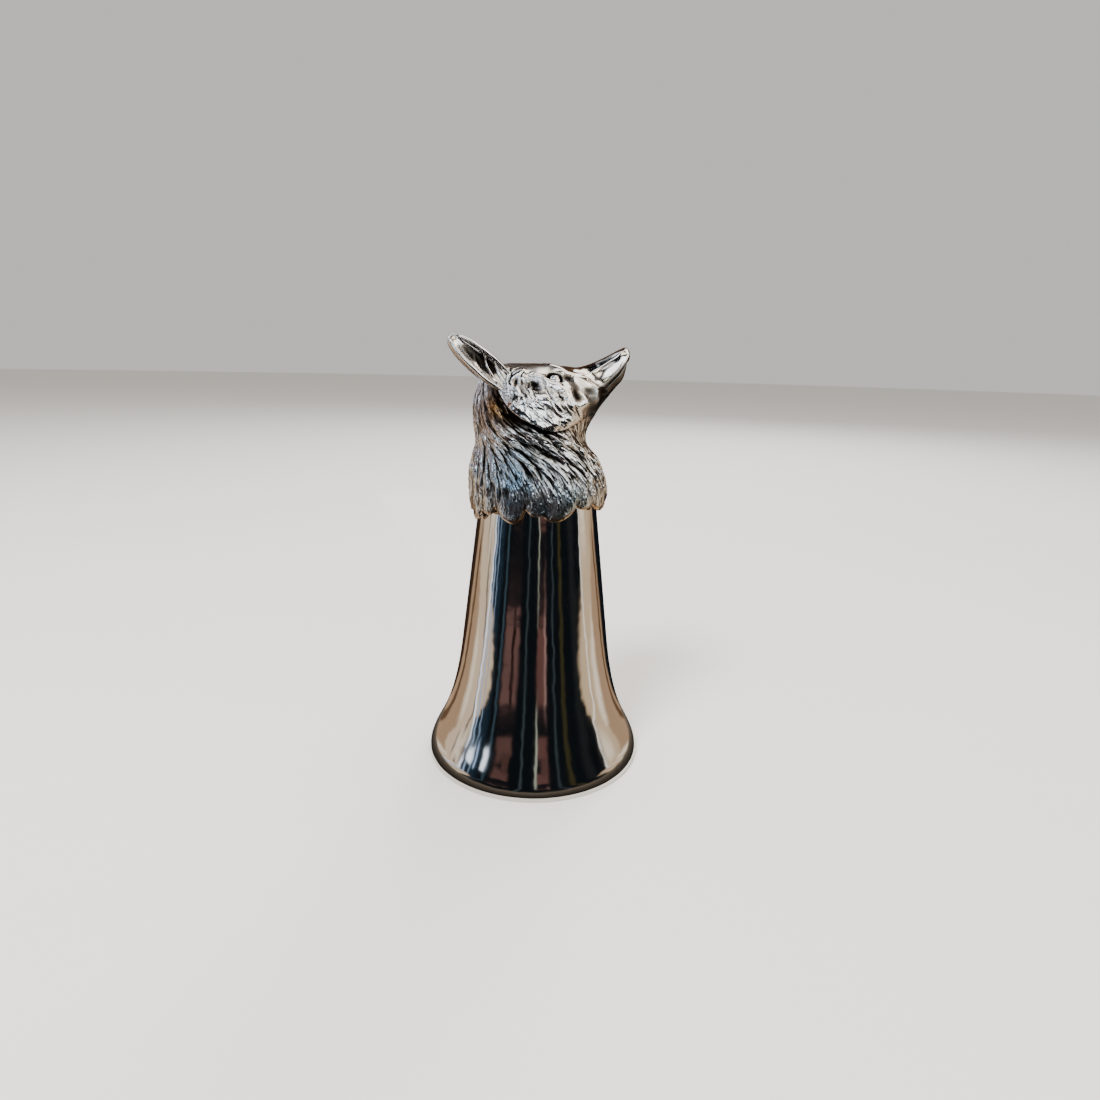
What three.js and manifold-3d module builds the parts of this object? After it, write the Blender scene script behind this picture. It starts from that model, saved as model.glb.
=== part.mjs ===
// Pewter hunting cup: a spun trumpet beaker that stands on its mouth, and a hollow cast
// fox head soldered over its closed end. Millimetres, +Z up. The origin is the centre of
// the mouth, on the surface that the cup stands on, and the fox looks along +X.
import * as THREE from 'three';
import Module from 'manifold-3d';

const wasm = await Module();
wasm.setup();

// Driving dimensions of the beaker
const MOUTH_RADIUS = 36.1;
const MOUTH_BAND = 1.8; // height of the upright band at the mouth
const FLARE_TOP = 41.4; // height where the trumpet flare has become the plain taper
const FLARE_TOP_RADIUS = 24.4;
const TAPER = 0.118; // radius lost for each millimetre of height above the flare
const FLARE_PULL_LOW = 9.2; // how far the flare's curve follows its tangent at the mouth
const FLARE_PULL_HIGH = 30; // and how far it follows the taper
const MOUTH_LEAN = 0.159; // inward lean of the flare where it meets the band
const BEAKER_HEIGHT = 97; // outside of the closed end
const BEAKER_WALL = 1.2;
const LIP_FLAT = 0.6; // width of the flat that the cup rests on
const SHOULDER_RADIUS = 4.2; // rounding between the wall and the closed end
const BEAKER_FACETS = 56;

// Driving dimensions of the joint between beaker and head
const COLLAR_OVERLAP = 9.5; // how far the hem's notches hang below the beaker's end
const COLLAR_STANDOFF = 1.45; // clear space between the beaker and the mane's hem
const SOLDER_HEIGHT = 4.5;
const SOLDER_BELOW_END = 2.5; // from the beaker's end down to the top of the solder
const JOINT_GAP = 0.3; // clearance of soldered faces

// Driving dimensions of the head casting. Its stations, hem and ears are drawn for a collar of
// DRAWN_COLLAR_RADIUS and for z = 0 at the hem's level, and are scaled to the collar.
const DRAWN_COLLAR_RADIUS = 22.2;
const HEAD_WALL = 1.7;
const HEM_ROUNDING = 0.8;
const HEM_FADE = 1.7; // stations over which the hem's wave dies out
const NOSE_REACH = 1.3; // how far the nose stands out past its last station
const CAVITY_END = 11.6; // station where the hollow inside the head stops

// Sections of the head, from the hem of the mane to the nose. Each is a closed curve in the
// plane through its throat point and crown point, [x, z]. breadth is half its width, widest is
// where the widest point lies on the way from throat to crown, and low and high are how full
// the curve is below and above that point: 2 is an ellipse and 1 a straight line.
const STATIONS = [
  { throat: [22.3, 0], crown: [-22, 0], breadth: 22.2, widest: 0.5, low: 2, high: 2 },
  { throat: [22.7, 3.7], crown: [-22.4, 4.1], breadth: 22.5, widest: 0.5, low: 2, high: 2 },
  { throat: [21.2, 8.7], crown: [-22, 9.5], breadth: 21.6, widest: 0.5, low: 2, high: 2 },
  { throat: [18.4, 13.9], crown: [-20.9, 14.7], breadth: 19.8, widest: 0.5, low: 2, high: 2 },
  { throat: [15.4, 18.5], crown: [-20, 19.7], breadth: 18.2, widest: 0.5, low: 2, high: 2.1 },
  { throat: [15.1, 22.1], crown: [-21, 26.1], breadth: 18.7, widest: 0.46, low: 1.9, high: 2 },
  { throat: [16.4, 25.3], crown: [-20.9, 32.5], breadth: 19.2, widest: 0.42, low: 1.8, high: 1.8 },
  { throat: [17.9, 28.1], crown: [-18.6, 38.7], breadth: 18.6, widest: 0.4, low: 1.7, high: 1.65 },
  { throat: [19.2, 30.2], crown: [-12.6, 42.4], breadth: 16.8, widest: 0.4, low: 1.7, high: 1.6 },
  { throat: [20.4, 31.8], crown: [-5, 43.3], breadth: 14.4, widest: 0.4, low: 1.7, high: 1.65 },
  { throat: [21.5, 33.2], crown: [2.8, 42.9], breadth: 11.3, widest: 0.4, low: 1.8, high: 1.9 },
  { throat: [22.6, 34.6], crown: [9.2, 41.2], breadth: 8, widest: 0.42, low: 1.9, high: 2.2 },
  { throat: [24, 36.4], crown: [14.6, 43], breadth: 6.1, widest: 0.48, low: 2, high: 2.3 },
  { throat: [25.5, 38.6], crown: [19.8, 45.3], breadth: 5, widest: 0.52, low: 2, high: 2.3 },
  { throat: [26.8, 41.4], crown: [24, 47.5], breadth: 4, widest: 0.55, low: 2, high: 2.2 },
  { throat: [27.3, 44.1], crown: [26.4, 48.7], breadth: 3, widest: 0.55, low: 2, high: 2.1 },
];
const LAST_STATION = STATIONS.length - 1;
const NOSE_STATION = LAST_STATION + 0.9; // the nose is a dome past the last station

// The hem on one side: [degrees round the cup from the chest, drop below the hem's level],
// tips of tufts and notches between them in turn, from a tip at 0 to a tip at 180.
const HEM = [
  [0, 1.2], [17, -0.8], [32, 1.1], [45, -1], [56, -0.4], [64, -1.2], [85, 2.7], [94, 0.6],
  [99, 1.1], [108, -1], [117, 3.6], [135, -0.2], [143, 2], [151, 1.2], [162, 4.6], [172, 1.3],
  [180, 2.8],
];
const HEM_CREASE = { depth: 0.6, half: 5, rise: 2.4 }; // valley that runs up from each notch

// Carved forms of the head. Places on it are [station, angle], and the angle runs from 0 at
// the throat to 180 at the crown. The ruff is the step where the cheeks' fur overhangs the
// neck: the station of its edge and its lift are given at every 20 degrees, and its tips flare
// out further. A ridge is a raised line through its places, and a swell is a rise or a hollow
// round one place.
const RUFF = {
  edge: [7.1, 7, 6.6, 5.9, 5.32, 5.42, 5.85, 6.75, 7.5, 7.8],
  lift: [0, 0, 0.3, 1.1, 1.8, 2, 1.9, 1.5, 0.7, 0.2],
  step: 0.18,
  reach: 2.6,
  flare: 1.4,
  flareReach: 1,
};
const RIDGES = [
  { through: [[9.7, 149], [9.85, 141], [9.7, 128], [9.2, 112], [8.6, 94], [7.9, 68]], lift: 0.75, radius: 2.1 },
  { through: [[7.6, 134], [7.9, 122], [8.15, 110], [8.1, 96]], lift: 0.7, radius: 2.2 },
  { through: [[6.1, 118], [6.75, 104], [6.95, 90], [7.1, 76], [7.6, 62], [8.4, 50]], lift: 1.1, radius: 2.2 },
  { through: [[4.1, 160], [4.5, 130], [4.85, 100], [4.5, 70], [3.8, 40]], lift: 0.6, radius: 2.4 },
];
const SWELLS = [
  { at: [9.3, 120], height: -1.2, radius: 2 }, // between the eye and the brow
  { at: [10.8, 110], height: 0.4, radius: 2.8 }, // root of the muzzle
  { at: [11, 142], height: 1, radius: 3 }, // its upper edge
  { at: [10.9, 180], height: 1.3, radius: 3.6 }, // bridge of the nose
  { at: [9.6, 76], height: 0.9, radius: 2.6 }, // corner of the mouth
  { at: [7.6, 96], height: 0.35, radius: 5 }, // cheek
  { at: [8.4, 103], height: -0.6, radius: 1.8 }, // under the eye
  { at: [7.5, 146], height: 0.9, radius: 2.4 }, // root of the ear
  { at: [14.3, 100], height: 0.35, radius: 2.6 }, // upper lip
  { at: [8.83, 120], height: -1.3, radius: 2.4 }, // eye socket
];
const EYE = { at: [8.83, 120], ball: 1.75, proud: 0.55 };
const MOUTH = { through: [[9.6, 66], [11.4, 64], [13.2, 62], [15.1, 58]], radius: 0.5, steps: 14 };
const NOSE_PAD = { at: [15.2, 168], radius: 1.5, proud: 0.45 };
const NOSTRIL = { at: [15.55, 118], radius: 0.5 };

// Driving dimensions of an ear, given for the right one, which lies on the -Y side
const EAR = {
  root: [-9.4, -9.4, 35],
  middle: [-19.4, -16.4, 42.4],
  tip: [-28.3, -15.6, 50.3],
  opening: [0.35, -0.85, 0.35], // the way the hollow of the ear faces
  halfWidth: 4.35,
  depth: 3.6,
  wall: 1.15,
  rows: 14,
  steps: 7,
};

const NECK_ROWS = 11; // below the ruff's edge
const FACE_ROWS = 28; // above it
const COLUMN_WIDTH = 6; // degrees, at most
const CAVITY_ROWS = 16;
const CAVITY_COLUMNS = 26;

const POLISHED = new THREE.MeshStandardMaterial({ color: 0xc9c6c2, metalness: 1, roughness: 0.12 });
const ANTIQUED = new THREE.MeshStandardMaterial({ color: 0xa9a6a1, metalness: 1, roughness: 0.32 });
const SOLDER = new THREE.MeshStandardMaterial({ color: 0x9d9c99, metalness: 1, roughness: 0.45 });

// Solids, from three.js geometry to manifold-3d and back

function solidFrom(points, triangles) {
  return new wasm.Manifold(new wasm.Mesh({
    numProp: 3,
    vertProperties: new Float32Array(points.flatMap((p) => [p.x, p.y, p.z])),
    triVerts: new Uint32Array(triangles.flat()),
  }));
}

// A closed geometry of three.js as a solid: vertices that lie together become one.
function solidOf(geometry) {
  const flat = geometry.index ? geometry.toNonIndexed() : geometry;
  const position = flat.getAttribute('position');
  const found = new Map();
  const points = [];
  const corners = [];
  for (let i = 0; i < position.count; i++) {
    const p = new THREE.Vector3().fromBufferAttribute(position, i);
    const key = p.toArray().map((v) => Math.round(v * 1e4)).join();
    if (!found.has(key)) {
      found.set(key, points.length);
      points.push(p);
    }
    corners.push(found.get(key));
  }
  const triangles = [];
  for (let i = 0; i < corners.length; i += 3) {
    const [a, b, c] = corners.slice(i, i + 3);
    if (a !== b && b !== c && a !== c) triangles.push([a, b, c]);
  }
  return solidFrom(points, triangles);
}

function geometryOf(solid) {
  const mesh = solid.getMesh();
  const position = new Float32Array(mesh.numVert * 3);
  for (let i = 0; i < mesh.numVert; i++) {
    position.set(mesh.vertProperties.subarray(i * mesh.numProp, i * mesh.numProp + 3), i * 3);
  }
  const geometry = new THREE.BufferGeometry();
  geometry.setAttribute('position', new THREE.BufferAttribute(position, 3));
  geometry.setIndex(new THREE.BufferAttribute(mesh.triVerts, 1));
  geometry.computeVertexNormals();
  return geometry;
}

// Rings of equally many points, joined into a tube whose ends close on the rings' middles.
function loft(rings) {
  const count = rings[0].length;
  const end = (rings.length - 1) * count;
  const points = rings.flat();
  const middle = (ring) => ring.reduce((sum, p) => sum.add(p), new THREE.Vector3()).divideScalar(count);
  const first = points.push(middle(rings[0])) - 1;
  const last = points.push(middle(rings.at(-1))) - 1;
  const triangles = [];
  for (let i = 0; i < count; i++) {
    const next = (i + 1) % count;
    triangles.push([first, next, i], [last, end + i, end + next]);
    for (let row = 0; row < end; row += count) {
      const [a, b, c, d] = [row + i, row + next, row + next + count, row + i + count];
      const alongBD = points[b].distanceTo(points[d]) < points[a].distanceTo(points[c]);
      triangles.push(...(alongBD ? [[a, b, d], [b, c, d]] : [[a, b, c], [a, c, d]]));
    }
  }
  const made = solidFrom(points, triangles);
  return made.volume() > 0 ? made : solidFrom(points, triangles.map(([a, b, c]) => [a, c, b]));
}

function box(low, high) {
  const size = new THREE.Vector3().subVectors(high, low);
  const middle = new THREE.Vector3().addVectors(high, low).multiplyScalar(0.5);
  return solidOf(new THREE.BoxGeometry(...size.toArray()).translate(...middle.toArray()));
}

function ball(centre, radius, detail) {
  return solidOf(new THREE.IcosahedronGeometry(radius, detail).translate(...centre.toArray()));
}

// A closed profile of [radius, height] points, spun round the Z axis.
function spun(profile) {
  return solidOf(new THREE.LatheGeometry(profile, BEAKER_FACETS).rotateX(Math.PI / 2));
}

function smooth(x) {
  const t = THREE.MathUtils.clamp(x, 0, 1);
  return t * t * (3 - 2 * t);
}

// Beaker

// Radius of the beaker's outside, at a height above the flare.
function taperRadius(z) {
  return FLARE_TOP_RADIUS - TAPER * (z - FLARE_TOP);
}

// The wall's outside from the mouth to the shoulder, set back by inset: the upright band, one
// Bezier curve for the flare, and the straight taper.
function beakerWall(inset, flareSteps) {
  const flare = new THREE.CubicBezierCurve(
    new THREE.Vector2(MOUTH_RADIUS, MOUTH_BAND),
    new THREE.Vector2(MOUTH_RADIUS - MOUTH_LEAN * FLARE_PULL_LOW, MOUTH_BAND + FLARE_PULL_LOW),
    new THREE.Vector2(FLARE_TOP_RADIUS + TAPER * FLARE_PULL_HIGH, FLARE_TOP - FLARE_PULL_HIGH),
    new THREE.Vector2(FLARE_TOP_RADIUS, FLARE_TOP),
  );
  const wall = [];
  for (let step = 0; step <= flareSteps; step++) {
    const point = flare.getPoint(step / flareSteps);
    const tangent = flare.getTangent(step / flareSteps);
    wall.push(point.add(new THREE.Vector2(-tangent.y, tangent.x).multiplyScalar(inset)));
  }
  return wall;
}

// Quarter circle from the wall to the closed end, which lies at height top.
function shoulder(inset, top, steps) {
  const radius = SHOULDER_RADIUS - inset;
  const wall = taperRadius(BEAKER_HEIGHT - SHOULDER_RADIUS) - inset;
  const points = [];
  for (let step = 0; step <= steps; step++) {
    const turn = Math.PI / 2 * step / steps;
    points.push(new THREE.Vector2(
      wall - radius * (1 - Math.cos(turn)),
      top - radius * (1 - Math.sin(turn)),
    ));
  }
  return points;
}

function beakerSolid() {
  const lipMiddle = MOUTH_RADIUS - BEAKER_WALL / 2;
  const lipRadius = (BEAKER_WALL - LIP_FLAT) / 2;
  const top = BEAKER_HEIGHT - BEAKER_WALL;
  const profile = [
    new THREE.Vector2(lipMiddle + LIP_FLAT / 2, 0),
    new THREE.Vector2(MOUTH_RADIUS, lipRadius),
    ...beakerWall(0, 10),
    ...shoulder(0, BEAKER_HEIGHT, 3),
    new THREE.Vector2(0, BEAKER_HEIGHT),
    new THREE.Vector2(0, top),
    ...shoulder(BEAKER_WALL, top, 2).reverse(),
    ...beakerWall(BEAKER_WALL, 7).reverse(),
    new THREE.Vector2(MOUTH_RADIUS - BEAKER_WALL, lipRadius),
    new THREE.Vector2(lipMiddle - LIP_FLAT / 2, 0),
  ];
  return spun([...profile, profile[0].clone()]);
}

// Head

const HEM_LEVEL = BEAKER_HEIGHT - COLLAR_OVERLAP;
const COLLAR_RADIUS = taperRadius(HEM_LEVEL) + COLLAR_STANDOFF + HEAD_WALL;
const HEAD_SCALE = COLLAR_RADIUS / DRAWN_COLLAR_RADIUS;

// A Catmull-Rom curve through evenly spaced values, at x steps from the first.
function spline(values, x) {
  const last = values.length - 1;
  const from = Math.min(Math.floor(x), last - 1);
  const t = x - from;
  const [p, q, r, w] = [-1, 0, 1, 2].map((i) => values[THREE.MathUtils.clamp(from + i, 0, last)]);
  return q + t * ((r - p) + t * ((2 * p - 5 * q + 4 * r - w) + t * (3 * (q - r) + w - p))) / 2;
}

// A value of the station list at s stations from the hem.
function along(read, s) {
  return spline(STATIONS.map(read), s);
}

// Degrees from the throat, the same on both sides.
function halfTurn(turn) {
  return turn <= 180 ? turn : 360 - turn;
}

// How far the hem hangs below its level: sharp at the notches and round at the tips.
function hemDrop(half) {
  const i = Math.max(1, HEM.findIndex(([angle]) => half <= angle));
  const [tip, notch] = i % 2 ? [HEM[i - 1], HEM[i]] : [HEM[i], HEM[i - 1]];
  const share = (half - notch[0]) / (tip[0] - notch[0]);
  return notch[1] + (tip[1] - notch[1]) * Math.sin(Math.PI / 2 * share) ** 0.85;
}

// The plain section curve, as drawn: turn runs from 0 at the throat to 180 at the crown over
// the fox's right side, and on to 360 over its left side.
function plainPoint(s, turn) {
  const half = halfTurn(turn);
  const at = Math.min(s, LAST_STATION);
  const throat = new THREE.Vector3(along((v) => v.throat[0], at), 0, along((v) => v.throat[1], at));
  const crown = new THREE.Vector3(along((v) => v.crown[0], at), 0, along((v) => v.crown[1], at));
  const widest = along((v) => v.widest, at);
  const angle = THREE.MathUtils.degToRad(half);
  const below = half < 90;
  const fullness = along((v) => (below ? v.low : v.high), at);
  const reach = Math.abs(Math.cos(angle)) ** (2 / fullness);
  const share = below ? widest * (1 - reach) : widest + (1 - widest) * reach;
  const point = throat.clone().lerp(crown, share);
  point.y = along((v) => v.breadth, at) * Math.sin(angle) ** (2 / fullness) * (turn <= 180 ? -1 : 1);
  if (s > LAST_STATION) {
    const dome = (s - LAST_STATION) * Math.PI / 2;
    const centre = throat.clone().lerp(crown, 0.5);
    const chord = crown.clone().sub(throat).normalize();
    point.sub(centre).multiplyScalar(Math.cos(dome)).add(centre);
    point.addScaledVector(new THREE.Vector3(chord.z, 0, -chord.x), NOSE_REACH * Math.sin(dome));
  }
  if (s < HEM_FADE) point.z -= hemDrop(half) * (1 - s / HEM_FADE) ** 2;
  return point;
}

// Outward direction of the plain head at a place, from its neighbours.
function outward(s, turn) {
  const reach = 0.02;
  const low = Math.max(s - reach, 0);
  const high = Math.min(s + reach, NOSE_STATION);
  const up = plainPoint(high, turn).sub(plainPoint(low, turn));
  const across = plainPoint(s, (turn + 1) % 360).sub(plainPoint(s, (turn + 359) % 360));
  return up.cross(across).normalize();
}

// Point of the plain head, as drawn, on its right side for a place [station, angle].
function rightPoint([s, angle]) {
  return plainPoint(s, angle);
}

const RIDGE_LINES = RIDGES.map(({ through, lift, radius }) => {
  const curve = new THREE.CatmullRomCurve3(through.map(rightPoint));
  return { points: curve.getPoints(24), lift, radius };
});
const SWELL_CENTRES = SWELLS.map(({ at, height, radius }) => ({ centre: rightPoint(at), height, radius }));

// Station of the ruff's edge at an angle from the throat.
function ruffEdge(half) {
  return spline(RUFF.edge, half / 20);
}

// Height of the carved forms at a point of the plain head, before the casting is scaled.
function relief(s, turn, point) {
  const half = halfTurn(turn);
  const right = new THREE.Vector3(point.x, -Math.abs(point.y), point.z);
  const near = (centre, radius) => Math.exp(-right.distanceToSquared(centre) / radius ** 2);
  const above = s - ruffEdge(half);
  let height = 0;
  if (above > 0) {
    const lift = spline(RUFF.lift, half / 20);
    const flare = RUFF.flare * THREE.MathUtils.clamp(lift / Math.max(...RUFF.lift), 0, 1);
    height += lift * Math.exp(-((above / RUFF.reach) ** 2)) + flare * Math.exp(-((above / RUFF.flareReach) ** 2));
  }
  for (const { points, lift, radius } of RIDGE_LINES) {
    height += lift * Math.max(...points.map((p) => near(p, radius)));
  }
  for (const swell of SWELL_CENTRES) height += swell.height * near(swell.centre, swell.radius);
  for (const [angle] of HEM.filter((_, i) => i % 2)) {
    const crease = Math.exp(-(((half - angle) / HEM_CREASE.half) ** 2));
    height -= HEM_CREASE.depth * crease * (1 - smooth(s / HEM_CREASE.rise));
  }
  return height;
}

// Stations of the rows over the head, which run parallel to the ruff's edge.
function rowStations(half) {
  const below = ruffEdge(half) - RUFF.step / 2;
  const above = below + RUFF.step;
  const stations = [];
  for (let row = 0; row <= NECK_ROWS; row++) stations.push(below * row / NECK_ROWS);
  for (let row = 0; row <= FACE_ROWS; row++) {
    stations.push(THREE.MathUtils.lerp(above, NOSE_STATION, row / FACE_ROWS));
  }
  return stations;
}

// Angles of the columns over the head, with one on every notch and tip of the hem.
function columnTurns() {
  const turns = [0];
  for (const [stop] of HEM.slice(1)) {
    const start = turns.at(-1);
    const steps = Math.ceil((stop - start) / COLUMN_WIDTH);
    for (let step = 1; step <= steps; step++) turns.push(THREE.MathUtils.lerp(start, stop, step / steps));
  }
  const otherSide = turns.slice(1, -1).reverse().map((turn) => 360 - turn);
  return [...turns, ...otherSide];
}

// Drawn coordinates to the finished head: scaled to the collar, and lifted to the hem.
function placed(point) {
  const scaled = point.clone().multiplyScalar(HEAD_SCALE);
  scaled.z += HEM_LEVEL;
  return scaled;
}

// A point of the finished head, moved outwards by offset.
function headPoint(s, turn, offset, carved) {
  const drawn = plainPoint(s, turn);
  const normal = outward(s, turn);
  if (carved) drawn.addScaledVector(normal, relief(s, turn, drawn));
  return placed(drawn).addScaledVector(normal, offset);
}

// The head's outside, closed off flat at the hem, whose lower edge is rounded.
function headOutside(offset) {
  const columns = columnTurns().map((turn) => (
    rowStations(halfTurn(turn)).map((s) => headPoint(s, turn, offset, true))
  ));
  const rings = columns[0].map((_, row) => columns.map((column) => column[row]));
  const hem = rings[0].map((p) => {
    const inward = new THREE.Vector3(p.x, p.y, 0).normalize().multiplyScalar(-HEM_ROUNDING);
    return p.clone().add(inward);
  });
  rings[0].forEach((p) => p.setZ(p.z + HEM_ROUNDING));
  return loft([hem, ...rings]);
}

// The hollow of the head, open through the neck. shrink makes it smaller all round.
function headCavity(shrink) {
  const rings = [];
  for (let row = 0; row <= CAVITY_ROWS; row++) {
    const s = CAVITY_END * row / CAVITY_ROWS;
    rings.push(Array.from({ length: CAVITY_COLUMNS }, (_, column) => (
      headPoint(s, 360 * column / CAVITY_COLUMNS, -HEAD_WALL - shrink, false)
    )));
  }
  const lowest = Math.max(...HEM.map(([, drop]) => drop)) * HEAD_SCALE;
  const skirt = rings[0].map((p) => new THREE.Vector3(p.x, p.y, HEM_LEVEL - 2 * lowest));
  return loft([skirt, ...rings]);
}

// Point on the finished head for a place [station, angle] on one side, raised by lift.
function surfacePoint([s, angle], side, lift) {
  const turn = side < 0 ? angle : 360 - angle;
  return placed(plainPoint(s, turn)).addScaledVector(outward(s, turn), lift);
}

// A round groove along the lips of one side.
function mouthGroove(side) {
  const points = MOUTH.through.map((place) => surfacePoint(place, side, 0));
  const section = new THREE.Shape();
  section.absarc(0, 0, MOUTH.radius, 0, 2 * Math.PI);
  return solidOf(new THREE.ExtrudeGeometry(section, {
    steps: MOUTH.steps,
    curveSegments: 3,
    extrudePath: new THREE.CatmullRomCurve3(points),
  }));
}

function headSolid() {
  let head = headOutside(0);
  for (const side of [-1, 1]) {
    head = head.add(ball(surfacePoint(EYE.at, side, EYE.proud - EYE.ball), EYE.ball, 2));
    head = head.add(ball(surfacePoint(NOSE_PAD.at, side, NOSE_PAD.proud - NOSE_PAD.radius), NOSE_PAD.radius, 1));
    head = head.subtract(mouthGroove(side));
    head = head.subtract(ball(surfacePoint(NOSTRIL.at, side, 0), NOSTRIL.radius, 1));
  }
  return head.subtract(headCavity(0));
}

// One side of the head, parted from the other along the middle plane.
function headHalf(head, side) {
  const far = 4 * MOUTH_RADIUS;
  const low = new THREE.Vector3(-far, side < 0 ? -far : JOINT_GAP / 2, 0);
  const high = new THREE.Vector3(far, side < 0 ? -JOINT_GAP / 2 : far, BEAKER_HEIGHT + far);
  return head.intersect(box(low, high));
}

// The solder between the beaker's end and the neck of the head.
function solderSolid() {
  const top = BEAKER_HEIGHT - SOLDER_BELOW_END;
  const bottom = top - SOLDER_HEIGHT;
  const inside = (z) => new THREE.Vector2(taperRadius(z) + JOINT_GAP, z);
  const outer = COLLAR_RADIUS + HEAD_WALL;
  const band = spun([
    inside(bottom),
    new THREE.Vector2(outer, bottom),
    new THREE.Vector2(outer, top),
    inside(top),
    inside(bottom),
  ]);
  return headCavity(JOINT_GAP).intersect(band);
}

// Ears

// An ear: crescent sections along a curved middle line, from a filled root to a rounded tip,
// cut to the head's surface with the clearance of a soldered face.
function earSolid(side) {
  const ours = ([x, y, z]) => new THREE.Vector3(x, side < 0 ? y : -y, z);
  const line = new THREE.QuadraticBezierCurve3(ours(EAR.root), ours(EAR.middle), ours(EAR.tip));
  const opening = ours(EAR.opening);
  const rings = [];
  for (let row = 0; row <= EAR.rows; row++) {
    const u = Math.sin(Math.PI / 2 * row / EAR.rows) * 0.995;
    const direction = line.getTangent(u);
    const face = opening.clone().addScaledVector(direction, -opening.dot(direction)).normalize();
    const across = new THREE.Vector3().crossVectors(direction, face);
    const swell = 0.72 + 0.28 * smooth(u / 0.45);
    const halfWidth = EAR.halfWidth * swell * Math.sqrt(1 - u ** 3.2);
    const depth = EAR.depth * (0.75 + 0.25 * swell) * Math.sqrt(1 - u ** 2.6);
    const wall = Math.min(EAR.wall, halfWidth * 0.5);
    const hollow = Math.max(depth - wall, 0) * smooth((u - 0.22) / 0.3);
    const centre = line.getPoint(u);
    const arc = (width, deep) => Array.from({ length: EAR.steps + 1 }, (_, i) => {
      const turn = Math.PI * (i / EAR.steps - 0.5);
      return placed(centre.clone()
        .addScaledVector(across, width * Math.sin(turn))
        .addScaledVector(face, depth / 2 - deep * Math.cos(turn)));
    });
    rings.push([...arc(halfWidth, depth), ...arc(halfWidth - wall, hollow).reverse()]);
  }
  return loft(rings).subtract(headOutside(JOINT_GAP));
}

// Assembly

function piece(name, solid, material) {
  const mesh = new THREE.Mesh(geometryOf(solid), material);
  mesh.name = name;
  return mesh;
}

const head = headSolid();
const cup = new THREE.Group();
cup.add(
  piece('beaker', beakerSolid(), POLISHED),
  piece('neck_solder_ring', solderSolid(), SOLDER),
  piece('head_right_half', headHalf(head, -1), ANTIQUED),
  piece('head_left_half', headHalf(head, 1), ANTIQUED),
  piece('ear_right', earSolid(-1), ANTIQUED),
  piece('ear_left', earSolid(1), ANTIQUED),
);

export default cup;
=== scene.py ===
"""A pewter hunting cup: a mirror-polished trumpet beaker that stands on its mouth, with a cast
and antiqued fox head soldered over its closed end.

Sizes are millimetres until a mesh is made, which takes them to metres. +Z is up, the origin is
the centre of the mouth, and the fox looks along +X, with its right side at -Y.
"""
import logging
import math
from dataclasses import dataclass, field
from enum import Enum

import bpy
import numpy as np
from mathutils import Matrix
from numpy.typing import NDArray


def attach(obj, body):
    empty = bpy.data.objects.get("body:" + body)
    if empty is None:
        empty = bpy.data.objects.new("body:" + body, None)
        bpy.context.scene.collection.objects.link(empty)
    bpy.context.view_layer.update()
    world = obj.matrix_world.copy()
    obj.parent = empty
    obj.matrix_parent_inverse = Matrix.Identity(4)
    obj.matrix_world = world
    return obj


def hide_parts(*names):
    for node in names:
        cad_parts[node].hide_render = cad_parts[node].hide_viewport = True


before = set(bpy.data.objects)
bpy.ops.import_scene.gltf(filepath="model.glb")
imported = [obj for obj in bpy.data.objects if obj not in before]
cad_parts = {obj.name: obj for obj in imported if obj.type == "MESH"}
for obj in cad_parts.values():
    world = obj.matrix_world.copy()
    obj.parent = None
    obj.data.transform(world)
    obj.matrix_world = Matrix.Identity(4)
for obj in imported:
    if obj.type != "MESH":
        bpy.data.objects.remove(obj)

Array = NDArray[np.float64]
Material = bpy.types.Material
Socket = bpy.types.NodeSocket
MM = 0.001
CAMERA_TURN = 7.6  # degrees from -Y towards -X, where the photo's camera stands
LOG = logging.getLogger("hunting_cup")


class Side(Enum):
    """The fox's own sides, as the sign of y."""

    RIGHT = -1
    LEFT = 1


class Slot(Enum):
    """Finishes named by the part's record."""

    POLISHED = "polished_pewter"
    ANTIQUED = "antiqued_pewter"
    SOLDER = "soft_solder"


def smooth(x: Array) -> Array:
    """Smooth step from 0 to 1 over x from 0 to 1."""
    t = np.clip(x, 0.0, 1.0)
    return t * t * (3.0 - 2.0 * t)


def bell(distance: Array, width: float) -> Array:
    """Gaussian bell of height 1 that has fallen to 1/e at width."""
    return np.exp(-((distance / width) ** 2))


def catmull(values: Array, x: Array) -> Array:
    """Catmull-Rom curve through evenly spaced values.

    Args:
        values: one row of numbers, or one row of vectors, for each whole x.
        x: places along the curve, in steps from the first value.

    Returns:
        The interpolated numbers or vectors, one for each x.
    """
    values = np.asarray(values, float)
    x = np.asarray(x, float)
    last = len(values) - 1
    start = np.clip(np.floor(x).astype(int), 0, last - 1)
    t = x - start
    if values.ndim == 2:
        t = t[..., None]
    p, q, r, w = (values[np.clip(start + k, 0, last)] for k in (-1, 0, 1, 2))
    return q + t * ((r - p) + t * ((2 * p - 5 * q + 4 * r - w) + t * (3 * (q - r) + w - p))) / 2


def unit(vectors: Array) -> Array:
    """Vectors scaled to length 1."""
    return vectors / np.maximum(np.linalg.norm(vectors, axis=-1, keepdims=True), 1e-12)


def folded(turn: Array) -> Array:
    """Degrees from the throat, which are the same on both sides of the head."""
    turn = turn % 360
    return np.where(turn <= 180, turn, 360 - turn)


def around(radius: Array, turn: Array, z: Array) -> Array:
    """Points at a radius and height round the Z axis, with turns in radians from +X."""
    return np.stack([radius * np.cos(turn), radius * np.sin(turn), z + 0 * turn], axis=-1)


def grid_normals(points: Array) -> Array:
    """Unit normals of a grid whose columns join: along its rows crossed with round them."""
    ahead = np.roll(points, -1, axis=1) - np.roll(points, 1, axis=1)
    return unit(np.cross(np.gradient(points, axis=0), ahead))


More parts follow.
